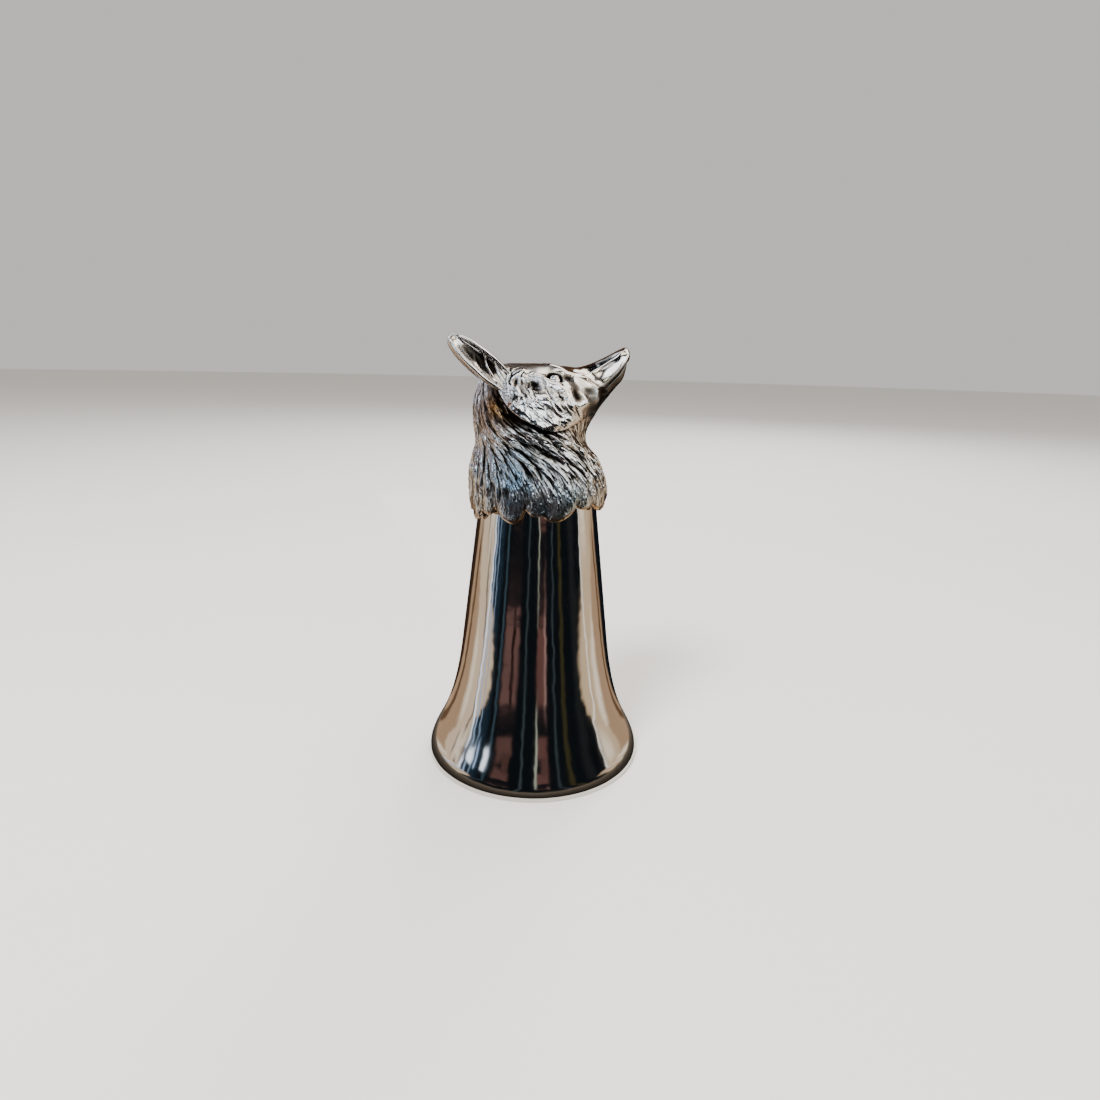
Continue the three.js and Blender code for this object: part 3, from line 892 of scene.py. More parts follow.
    def eye_distance(self, right: Array) -> tuple[Array, Array]:
        """Distance from the eye's centre across the face, and how far up towards the brow.

        Args:
            right: points on the right side.

        Returns:
            The distance in drawn millimetres, and from -1 below the eye to 1 above it.
        """
        eye = self.form.spot(*self.eye)
        outward = self.form.outward(np.array(self.eye[0]), self.form.turned(self.eye[1], Side.RIGHT))
        away = right - eye
        flat = away - (away @ outward)[..., None] * outward
        brow = unit(self.form.spot(*self.brow) - eye)
        distance = np.linalg.norm(flat, axis=-1)
        return distance, (flat @ brow) / np.maximum(distance, 0.3)

    def coated(self, s: Array, half: Array, right: Array) -> Array:
        """1 where the coat grows and 0 where the metal is bare: round the eyes, and the muzzle."""
        distance, _ = self.eye_distance(right)
        return smooth((distance - 2.5) / 1.0) * smooth(catmull(self.coat_end, half / 20) - s + 0.5)

    def socket(self, total: Array, right: Array) -> Array:
        """Heights with the eye's socket cut in: a floor under the ball, a deep ring, and lids.

        Args:
            total: heights without the socket.
            right: plain points on the right side.

        Returns:
            The heights with it.
        """
        distance, upper = self.eye_distance(right)
        low, added = self.lid_heights
        lid = low + added * smooth((upper + 0.6) / 1.3)
        radius, breadth, depth = self.socket_ring
        inner = self.socket_floor + depth * bell(distance - radius, breadth)
        start, run = self.lid_rise
        rise = smooth((distance - start) / run)
        end, fade = self.lid_reach
        share = smooth((end - distance) / fade)
        return total * (1 - share) + (inner * (1 - rise) + lid * rise) * share


@dataclass(frozen=True)
class Layer:
    """A layer of locks of hair: size and height against the coat's own, and the stations
    between which they start."""

    size: float
    tall: float
    low: float
    high: float
    # The share of the locks that is laid
    share: float = 1.0
    # If above 0, the locks are slim and of this one height
    slim: float = 0.0
    # 1 to raise the locks, and -1 to engrave them
    sign: int = 1


@dataclass
class Coat:
    """The fox's coat: layers of shingled locks laid along a flow, and long strands over them.

    The height is worked out on a chart, a raster of stations by degrees round the head.
    """

    form: HeadForm
    seed: int = 11
    chart_step: float = 0.02
    chart_turn: float = 0.25
    # Folds, clumps, tufts, hooks and cuts
    layers: tuple[Layer, ...] = (
        Layer(2.2, 1.3, 3.9, 5.3),
        Layer(1.9, 1.15, 2.6, 9.0),
        Layer(1.0, 0.7, 0.0, 5.0, share=0.4),
        Layer(0.62, 1.0, 0.3, 2.8, share=0.26, slim=0.22),
        Layer(0.8, 1.0, 2.0, 8.6, share=0.14, slim=0.26, sign=-1),
    )
    # Stations of the lowest and highest roots, and the gaps between roots in a row and between
    # rows, against the width and length of a lock
    first_root: float = 0.2
    last_root: float = 13.6
    root_spacing: float = 0.76
    row_spacing: float = 0.36
    # Scatter of the roots along a row and across it, against those gaps
    root_scatter: float = 0.22
    row_scatter: float = 0.35
    # Ranges of a lock's length, width and height against the coat's own, and of a slim lock's
    # height against its layer's. Locks lower than lowest_lock are left out
    lengths: tuple[float, float] = (0.75, 1.3)
    widths: tuple[float, float] = (0.8, 1.25)
    heights_of_locks: tuple[float, float] = (0.45, 1.4)
    heights_of_slim: tuple[float, float] = (0.5, 1.2)
    lowest_lock: float = 0.015
    # Greatest share of its height by which a lock is sunk
    most_sunk: float = 0.16
    # Points along a lock, its scatter of curl in degrees, how much more it has on the ruff, and
    # the width and curl of slim locks against the others
    spine_steps: int = 8
    curl: float = 14.0
    ruff_curl: float = 4.0
    slim_width: float = 0.38
    slim_curl: float = 1.8
    # Share of its length over which a full lock climbs to its height, and a slim one
    climb_share: tuple[float, float] = (0.8, 0.2)
    # Strands: their depth against the root of the coat's height, their breadth in steps of the
    # chart, the walk along the flow in steps of so many millimetres, and the sway in degrees
    strand_depth: float = 0.42
    strand_blur: int = 3
    strand_step: float = 0.22
    strand_steps: int = 15
    sway: float = 8.0
    # Station, angle, lean of the flow from straight down towards the chest in degrees, and the
    # length, width and height of the locks there in millimetres
    places: Array = field(default_factory=lambda: np.array([
        [0.0, 15, -4, 4.0, 1.1, 0.12], [0.0, 60, -20, 4.0, 1.1, 0.05], [0.0, 110, -28, 4.0, 1.1, 0.05],
        [0.0, 165, -6, 4.0, 1.1, 0.15], [1.5, 25, 6, 4.4, 1.1, 0.18], [1.5, 75, 4, 4.4, 1.1, 0.05],
        [1.5, 120, -4, 4.4, 1.1, 0.08], [1.5, 168, 0, 4.4, 1.1, 0.18], [2.3, 92, 22, 4.8, 1.2, 0.08],
        [3.0, 25, 16, 5.6, 1.3, 0.34], [3.0, 70, 42, 5.6, 1.2, 0.3], [3.0, 112, 38, 5.6, 1.2, 0.3],
        [3.0, 150, 10, 5.6, 1.3, 0.36], [4.6, 18, 16, 6.0, 1.4, 0.42], [4.6, 58, 60, 6.5, 1.4, 0.5],
        [4.6, 98, 68, 6.5, 1.4, 0.55], [4.6, 132, 50, 6.0, 1.3, 0.42], [4.6, 170, 4, 5.5, 1.3, 0.36],
        [5.8, 86, 82, 6.0, 1.3, 0.2], [6.1, 108, 76, 6.0, 1.3, 0.26], [6.8, 96, 64, 5.4, 1.4, 0.24],
        [7.2, 112, 50, 4.8, 1.4, 0.3], [7.0, 138, 58, 5.0, 1.1, 0.22], [6.3, 70, 74, 5.0, 1.3, 0.18],
        [6.5, 122, 68, 5.4, 1.2, 0.26], [6.5, 160, 12, 4.5, 1.0, 0.22], [7.6, 60, 32, 4.0, 1.4, 0.12],
        [7.2, 84, 50, 4.2, 1.3, 0.12], [8.3, 98, 18, 3.8, 1.5, 0.02], [7.8, 122, 12, 3.6, 1.3, 0.1],
        [8.5, 150, 4, 3.2, 1.0, 0.03], [9.2, 175, 0, 2.8, 0.8, 0.05], [9.6, 98, 6, 3.2, 1.2, 0.05],
        [10.6, 88, 4, 2.6, 1.0, 0.03], [11.5, 125, 0, 1.8, 0.6, 0.02], [11.4, 168, 0, 1.8, 0.5, 0.03],
        [13.0, 100, 0, 1.6, 0.5, 0.01], [15.5, 100, 0, 1.5, 0.5, 0.0], [11.0, 30, 0, 2.6, 0.9, 0.08],
        [13.5, 20, 0, 2.0, 0.6, 0.03], [8.5, 22, 8, 3.6, 1.1, 0.05], [6.5, 28, 14, 4.5, 1.2, 0.2],
    ]))
    # Steps of the coarse table of the head's own scale
    table_step: float = 0.1
    table_turn: float = 3.0

    def __post_init__(self) -> None:
        """Lay out the chart and the head's own scale on it."""
        self.stations = np.arange(-0.4, self.form.nose + self.chart_step, self.chart_step)
        self.turns = np.arange(0, 360, self.chart_turn)
        s = np.arange(0, self.form.nose, self.table_step)
        s, t = np.meshgrid(s, np.arange(0, 361, self.table_turn), indexing="ij")
        up, across = self.form.slopes(s, t)
        self.scales = np.stack([np.linalg.norm(up, axis=-1), np.linalg.norm(across, axis=-1)], axis=-1)

    def scale_at(self, s: Array, turn: Array) -> Array:
        """Millimetres for one station and for one degree at places, from a coarse table.

        Args:
            s: stations.
            turn: degrees round the head.

        Returns:
            Both scales for each place.
        """
        row = np.clip(s / self.table_step, 0, self.scales.shape[0] - 1).astype(int)
        column = np.clip((turn % 360) / self.table_turn, 0, self.scales.shape[1] - 1).astype(int)
        return np.maximum(self.scales[row, column], [1.0, 0.02])

    def character(self, s: Array, turn: Array) -> Array:
        """Lean, length, width and height of the coat at places: a mean of the nearest places.

        Args:
            s: stations.
            turn: degrees round the head.

        Returns:
            The four numbers for each place.
        """
        flat_s, flat_half = s.reshape(-1, 1), folded(turn).reshape(-1, 1)
        away = ((flat_s - self.places[:, 0]) / 1.0) ** 2 + ((flat_half - self.places[:, 1]) / 22) ** 2
        weight = np.exp(-away) + 1e-12 / (1 + away)
        mean = weight @ self.places[:, 2:] / weight.sum(axis=1, keepdims=True)
        return mean.reshape(*np.shape(s), 4)

    def roots(self, rng: np.random.Generator, size: float) -> tuple[Array, Array]:
        """Stations and turns of the locks' roots, in staggered rows all over the head.

        Args:
            rng: source of the scatter.
            size: size of the locks against the coat's own.

        Returns:
            Stations and turns.
        """
        all_s, all_turn = [], []
        probe_step = 2.0
        probe = np.arange(0, 360, probe_step)
        s = self.first_root
        while s < self.last_root:
            there = np.full_like(probe, s)
            kind = self.character(there, probe)
            scale = self.scale_at(there, probe)
            step = self.root_spacing * kind[:, 2] * size / scale[:, 1]
            count = int(np.sum(probe_step / step))
            spread = np.concatenate([[0], np.cumsum(probe_step / step)])
            even = (np.arange(count) + rng.random()) / count * spread[-1]
            turn = np.interp(even, spread, np.append(probe, 360.0))
            turn = turn + rng.normal(0, self.root_scatter, count) * np.interp(turn, probe, step)
            rise = float(np.median(self.row_spacing * kind[:, 1] * size / scale[:, 0]))
            all_s.append(s + rng.normal(0, self.row_scatter, count) * rise)
            all_turn.append(turn % 360)
            s += rise
        return np.concatenate(all_s), np.concatenate(all_turn)

    def comb(self, rng: np.random.Generator, layer: Layer) -> Array:
        """Lay a layer's locks over the chart, the taller surface showing where they cross.

        A lock follows the flow from its root. Across it the height is a half ellipse, and along
        it the height climbs to a pointed tip, so each lock lies over the roots of the next.

        Args:
            rng: source of the scatter.
            layer: what the locks are like.

        Returns:
            Height over the chart in millimetres.
        """
        s, turn = self.roots(rng, layer.size)
        keep = (s > layer.low) & (s < layer.high) & (rng.random(len(s)) < layer.share)
        s, turn = s[keep], turn[keep]
        kind = self.character(s, turn)
        count, steps = len(s), self.spine_steps
        length = kind[:, 1] * layer.size * rng.uniform(*self.lengths, count)
        width = kind[:, 2] * layer.size * rng.uniform(*self.widths, count)
        height = kind[:, 3] * layer.tall * rng.uniform(*self.heights_of_locks, count)
        if layer.slim > 0:
            width = self.slim_width * width
            height = layer.slim * rng.uniform(*self.heights_of_slim, count)
        curl = rng.normal(0, 1, count) * (self.curl + self.ruff_curl * smooth((s - 5) / 1.5))
        if layer.slim > 0:
            curl = self.slim_curl * curl
        sink = self.most_sunk * (1 - np.cos(2 * math.pi * rng.random(count))) / 2
        path = np.empty((steps, count, 2))
        for k in range(steps):
            path[k] = np.stack([s, turn], axis=1)
            lean = np.radians(self.character(s, turn)[:, 0] + curl * (k / (steps - 1) - 0.25))
            side = np.where(turn % 360 <= 180, 1.0, -1.0)
            scale = self.scale_at(s, turn)
            s = s - np.cos(lean) * length / (steps - 1) / scale[:, 0]
            turn = turn - side * np.sin(lean) * length / (steps - 1) / scale[:, 1]
        scale = self.scale_at(*path[steps // 2].T)
        total = np.zeros((len(self.stations), len(self.turns)))
        climb = self.climb_share[layer.slim > 0]
        for i in np.flatnonzero(height > self.lowest_lock):
            self.lay(total, path[:, i], scale[i], width[i], height[i], sink[i], climb)
        return total

    def lay(self, total: Array, path: Array, scale: Array, width: float, height: float,
            sink: float, climb_share: float) -> None:
        """Raise the chart to one lock's surface where that is higher.

        Args:
            total: the chart's height so far, which is changed.
            path: station and turn along the lock's spine.
            scale: millimetres for one station and one degree there.
            width: the lock's greatest width in millimetres.
            height: its height at the tip.
            sink: share of the height by which it is sunk.
            climb_share: the share of its length over which it climbs to its height.
        """
        margin = width / scale
        low, high = path.min(axis=0) - margin, path.max(axis=0) + margin
        first, last = ((v - self.stations[0]) / self.chart_step for v in (low[0], high[0]))
        rows = np.arange(max(0, int(first)), min(len(self.stations), int(last) + 1))
        columns = np.arange(int(low[1] / self.chart_turn), int(high[1] / self.chart_turn) + 1)
        if len(rows) == 0 or len(columns) == 0:
            return
        spine = (path - path[0]) * scale
        x = (self.stations[rows] - path[0, 0]) * scale[0]
        y = (columns * self.chart_turn - path[0, 1]) * scale[1]
        start, run = spine[:-1], np.diff(spine, axis=0)
        squares = (run ** 2).sum(axis=1) + 1e-9
        dx = x[:, None, None] - start[:, 0]
        dy = y[None, :, None] - start[:, 1]
        share = np.clip((dx * run[:, 0] + dy * run[:, 1]) / squares, 0, 1)
        distance = (dx - share * run[:, 0]) ** 2 + (dy - share * run[:, 1]) ** 2
        best = distance.argmin(axis=-1)[..., None]

        def nearest(values: Array) -> Array:
            """The values at the nearest piece of the spine."""
            return np.take_along_axis(values, best, axis=-1)[..., 0]

        along = (best[..., 0] + nearest(share)) / len(run)
        flank = np.sign(nearest(run[:, 0] * dy - run[:, 1] * dx))
        root = 0.5 + 0.5 * smooth(along / 0.3)
        tip = 1 - np.clip((along - 0.4) / 0.6, 0, 1) ** 2
        across = np.sqrt(nearest(distance)) * flank / np.maximum(0.5 * width * root * tip, 1e-3)
        dome = np.clip(1 - across ** 2, 0, 1)
        climb = 0.12 + 0.88 * smooth(along / climb_share)
        surface = height * (climb * (0.2 + 0.8 * dome) - sink * (0.3 + 0.7 * climb))
        surface = np.where(np.abs(across) < 1, surface, 0.0)
        window = np.ix_(rows, columns % len(self.turns))
        total[window] = np.maximum(total[window], surface)

    def strands(self, rng: np.random.Generator) -> Array:
        """Long strands over the chart, from 0 in the cuts between them to 1 on their backs.

        Noise is smeared along the flow: each place takes the mean of the noise met on a walk of
        a few millimetres up and down the flow, which sways a little. A cut lies where it is zero.

        Args:
            rng: source of the noise.

        Returns:
            A value for each point of the chart.
        """
        shape = (len(self.stations), len(self.turns))
        sway = blurred(rng.standard_normal(shape), 26)
        noise = blurred(rng.standard_normal(shape), self.strand_blur)
        ahead = np.empty((2, *shape))
        right = np.where(self.turns <= 180, 1.0, -1.0)
        for row, station in enumerate(self.stations):
            there = np.full(shape[1], station)
            lean = np.radians(self.character(there, self.turns)[:, 0] + self.sway * sway[row] / sway.std())
            scale = self.scale_at(there, self.turns)
            ahead[0, row] = self.strand_step * np.cos(lean) / scale[:, 0] / self.chart_step
            ahead[1, row] = self.strand_step * right * np.sin(lean) / scale[:, 1] / self.chart_turn
        total = noise.copy()
        for way in (-1, 1):
            row, column = np.meshgrid(np.arange(shape[0]) + 0.5, np.arange(shape[1]) + 0.5, indexing="ij")
            for _ in range(self.strand_steps):
                at = np.clip(row, 0, shape[0] - 1).astype(int), column.astype(int) % shape[1]
                total += noise[at]
                row += way * ahead[0][at]
                column += way * ahead[1][at]
        total /= total.std()
        return 1 - np.exp(-np.abs(total) / 0.6)

    def heights(self) -> Array:
        """The coat on the chart: its layers of locks, with long strands on them.

        Returns:
            Height over the chart in millimetres.
        """
        rng = np.random.default_rng(self.seed)
        locks = sum(layer.sign * self.comb(rng, layer) for layer in self.layers)
        depth = np.empty_like(locks)
        for row, station in enumerate(self.stations):
            depth[row] = self.character(np.full(len(self.turns), station), self.turns)[:, 3]
        return locks + self.strand_depth * np.sqrt(depth) * (self.strands(rng) - 0.5)

    def sample(self, chart: Array, s: Array, turn: Array) -> Array:
        """Chart values at places, interpolated between its points.

        Args:
            chart: the values.
            s: stations.
            turn: degrees round the head.

        Returns:
            A value for each place.
        """
        row = np.clip((s - self.stations[0]) / self.chart_step, 0, len(self.stations) - 1.001)
        column = (turn % 360) / self.chart_turn
        r0, c0 = np.floor(row).astype(int), np.floor(column).astype(int)
        fr, fc = row - r0, column - c0
        c0, c1 = c0 % len(self.turns), (c0 + 1) % len(self.turns)
        top = chart[r0, c0] * (1 - fc) + chart[r0, c1] * fc
        bottom = chart[r0 + 1, c0] * (1 - fc) + chart[r0 + 1, c1] * fc
        return top * (1 - fr) + bottom * fr


@dataclass
class FoxHead:
    """The head casting in its two halves, with its eyes."""

    form: HeadForm
    carving: Carving
    coat: Coat
    wall: float = 1.7
    hem_rounding: float = 0.8
    # How deep the coat's bed is sunk below the plain form
    coat_bed: float = 0.35
    cavity_end: float = 11.6
    neck_rows: int = 150
    step_rows: int = 5
    face_rows: int = 210
    half_columns: int = 236
    inner_rows: int = 14
    lip_rows: int = 6
    eye_radius: float = 1.85
    eye_proud: float = 0.75
    # The ball sits a little towards this place below the eye
    eye_drop: float = 0.12
    below_eye: tuple[float, float] = (8.4, 104)
    eye_rows: int = 33
    eye_columns: int = 64
    # Painted shade, over the patina of the hollows: how far each place is darkened under the
    # ruff, round the eye, in the valley, on the crown, the jaw and the whorl, and where the warm
    # reflection of wood is painted
    shadows: tuple = (0.7, 0.9, 0.22, 0.2, 0.3, 0.25, 0.1)
    # Relief and painted shade, painted warm reflection, painted blue sheen and buffing of the
    # hollow inside, and of the hem's edge, whose warm share paints a reflection of wood on it
    inside_look: tuple = (0.25, 0.0, 0.0, 0.0)
    hem_look: tuple = (0.66, 0.8, 0.0, 0.0)

    @property
    def turns(self) -> Array:
        """Turn of each column of points."""
        return np.arange(2 * self.half_columns) * 180 / self.half_columns

    def outer_stations(self, half: Array) -> Array:
        """Stations of the outer rows, which run parallel to the ruff's edge.

        Args:
            half: degrees from the throat of each column.

        Returns:
            Stations by rows and columns.
        """
        below = self.carving.edge(half) - self.carving.ruff_step / 2
        above = below + self.carving.ruff_step
        neck = np.linspace(0, 1, self.neck_rows + 1)[:, None] * below
        step = below + np.linspace(0, 1, self.step_rows + 1)[1:-1, None] * (above - below)
        face = above + np.linspace(0, 1, self.face_rows + 1)[:, None] * (self.form.nose - above)
        return np.vstack([neck, step, face])

    def raised_hem(self, points: Array, s: Array) -> Array:
        """Points lifted next to the hem, to leave room for its round edge."""
        points[..., 2] += self.hem_rounding * smooth(1 - s / 0.5)
        return points

    def outer_grid(self) -> tuple[Array, Array]:
        """Outer points all round the head, and their look.

        Returns:
            Points by rows and columns, and what look gives for them.
        """
        half = folded(self.turns)
        s = self.outer_stations(half)
        turn = np.broadcast_to(self.turns, s.shape)
        drawn = self.form.plain(s, turn)
        right = self.carving.mirrored(drawn)
        carved = self.carving.height(s, half, right)
        coated = self.carving.coated(s, half, right)
        coat = self.coat.sample(self.coat.heights(), s, turn) * coated
        lift = carved + coat - self.coat_bed * coated
        points = self.form.placed(drawn + self.form.outward(s, turn) * lift[..., None])
        return self.raised_hem(points, s), self.look(s, half, right, coat, carved)

    def look(self, s: Array, half: Array, right: Array, coat: Array, carved: Array) -> Array:
        """What the finish reads at the outer points.

        Args:
            s: stations.
            half: degrees from the throat of each column.
            right: plain points, taken to the right side.
            coat: height of the coat.
            carved: height of the carved forms.

        Returns:
            Relief and painted shade, painted warm reflection, painted blue sheen and buffing, from 0 to 1.
        """
        fine, broad = coat - blurred(coat, 4), carved + coat - blurred(carved + coat, 14)
        relief_and_shade = 0.5 + 1.8 * fine + 0.5 * broad
        under = self.carving.edge(half) - s
        ruff = smooth((half - 50) / 20) * (1 - 0.8 * smooth((half - 90) / 24))
        ruff = ruff * np.where(under > 0, bell(under, 0.35), bell(under, 0.05))
        eye = bell(self.carving.eye_distance(right)[0] - 1.95, 0.45)
        valley = bell(self.carving.near_line(right, self.carving.valley[0]), 1.1)
        crown = smooth((half - 138) / 14) * smooth((s - 7.2) / 0.8) * (1 - smooth((s - 13.6) / 1.2))
        jaw = np.maximum(
            smooth((70 - half) / 10) * smooth((s - 6.8) / 1.0),
            smooth((88 - half) / 12) * smooth((s - 8.3) / 0.8),
        )
        whorl = bell(self.carving.near_spot(right, 7.55, 119), 1.0)
        # Painted reflection of wood: on the flank behind the cheek, and along the hem's edge
        cheek = bell(np.hypot((s - 5.7) / 1.3, (half - 136) / 26), 1.0) * smooth((under - 0.1) / 0.2)
        wood_reflection = np.maximum(cheek, 0.8 * bell(s, 0.22))
        mane = bell(np.hypot((s - 1.5) / 2.9, (half - 100) / 50), 1.0)
        # Painted shade: the relief is lowered, which darkens the colour, at each of these places
        for depth, place in zip(self.shadows, (ruff, eye, valley, crown, jaw, whorl, wood_reflection)):
            relief_and_shade -= depth * place
        # Painted reflections: warm on the flank, hem, valley and crown, and a blue sheen on mane and jaw
        warm_reflection = np.maximum(wood_reflection, np.maximum(0.6 * valley, 0.3 * crown))
        blue_sheen = np.maximum(mane, 0.5 * jaw)
        return np.stack([np.clip(relief_and_shade, 0, 1), warm_reflection, blue_sheen, smooth((s - 8.8) / 1.6)])

    def inner_grid(self) -> Array:
        """Points of the hollow inside, from its end down to the hem.

        Returns:
            Points by rows and columns.
        """
        stations = np.linspace(self.cavity_end, 0, self.inner_rows)[:, None]
        s, turn = np.broadcast_arrays(stations, self.turns)
        points = self.raised_hem(self.form.placed(self.form.plain(s, turn)), s)
        return points - self.wall * self.form.outward(s, turn)

    def lip_grid(self, inner: Array, outer: Array) -> Array:
        """Half round of the hem's edge from the inner to the outer points.

        Args:
            inner: last row of the hollow.
            outer: first row of the outer points.

        Returns:
            Points by rows and columns.
        """
        turn = np.linspace(math.pi, 0, self.lip_rows + 2)[1:-1, None, None]
        middle, radius = (inner + outer) / 2, (outer - inner) / 2
        down = np.array([0.0, 0.0, -self.hem_rounding])
        return middle + radius * np.cos(turn) + down * np.sin(turn)

    def build(self, finish: Material) -> None:
        """Make both halves and both eyes.

        Args:
            finish: the casting's material.
        """
        outer, outer_look = self.outer_grid()
        inner = self.inner_grid()
        lip = self.lip_grid(inner[-1], outer[0])
        points = np.vstack([inner, lip, outer])
        normals = grid_normals(points)
        normals[-len(outer):] = grid_normals(outer)
        look = np.empty((len(outer_look), *points.shape[:2]))
        look[:, :len(inner)] = np.array(self.inside_look)[:, None, None]
        look[:, len(inner):] = np.array(self.hem_look)[:, None, None]
        look[:, -len(outer):] = outer_look
        for side, node in ((Side.RIGHT, "head_right_half"), (Side.LEFT, "head_left_half")):
            start = 0 if side is Side.RIGHT else self.half_columns
            columns = (start + np.arange(self.half_columns + 1)) % len(self.turns)
            piece = self.half(side, points[:, columns], normals[:, columns], look[:, :, columns], finish)
            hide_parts(node)
            self.eye(side, finish)

    def half(self, side: Side, points: Array, normals: Array, look: Array,
             finish: Material) -> bpy.types.Object:
        """One half of the casting, closed along the middle plane.

        Args:
            side: the fox's right or left.
            points: rows from the hollow's end over the hem to the nose, by columns.
            normals: shading normals of the points.
            look: relief and painted shade, painted warm reflection, painted blue sheen and buffing,
                0 to 1, for each point.
            finish: the material.

        Returns:
            The new object.
        """
        rows, columns = points.shape[:2]
        points = points.copy()
        points[:, [0, -1], 1] = 0.0
        nose, hollow = rows * columns, rows * columns + 1
        middle = np.array([1.0, 0.0, 1.0])
        ends = np.array([points[-1].mean(axis=0) * middle, points[0].mean(axis=0) * middle])
        faces = grid_quads(rows, columns)
        faces += fan((rows - 1) * columns + np.arange(columns), nose, upwards=True)
        faces += fan(np.arange(columns), hollow, upwards=False)
        edge = np.arange(rows) * columns
        faces.append([nose, *edge[::-1].tolist(), hollow])
        faces.append([hollow, *(edge + columns - 1).tolist(), nose])
        end_normals = np.array([[0.7, 0.0, 0.7], [-1.0, 0.0, 0.0]])
        return make_piece(
            f"head_casting_{side.name.lower()}",
            np.vstack([points.reshape(-1, 3), ends]),
            faces, finish,
            normals=np.vstack([normals.reshape(-1, 3), end_normals]),
            values={
                key: np.append(value.reshape(-1), [0.5, 0.5])
                for key, value in zip(("relief_and_shade", "warm_reflection", "blue_sheen", "buffed"), look)
            },
        )

    def eye(self, side: Side, finish: Material) -> None:
        """The eye: a polished ball that stands a little proud of its socket.

        Args:
            side: the fox's right or left.
            finish: its material.
        """
        s, half = self.carving.eye
        place = self.form.placed(self.form.spot(s, half, side))
        outward = self.form.outward(np.array(s), self.form.turned(half, side))
        down = unit(self.form.placed(self.form.spot(*self.below_eye, side)) - place)
        centre = place + outward * (self.eye_proud - self.eye_radius) + down * self.eye_drop
        tilt = np.linspace(0, math.pi, self.eye_rows)[1:-1, None]
        turn = np.linspace(0, 2 * math.pi, self.eye_columns, endpoint=False)
        ball = around(np.sin(tilt), turn, np.cos(tilt)).reshape(-1, 3)
        ball = np.vstack([ball, [[0, 0, 1], [0, 0, -1]]])
        make_piece(
            f"eye_{side.name.lower()}", centre + self.eye_radius * ball,
            tube(len(tilt), self.eye_columns), finish,
            values={"relief_and_shade": np.full(len(ball), 0.8)},
        )


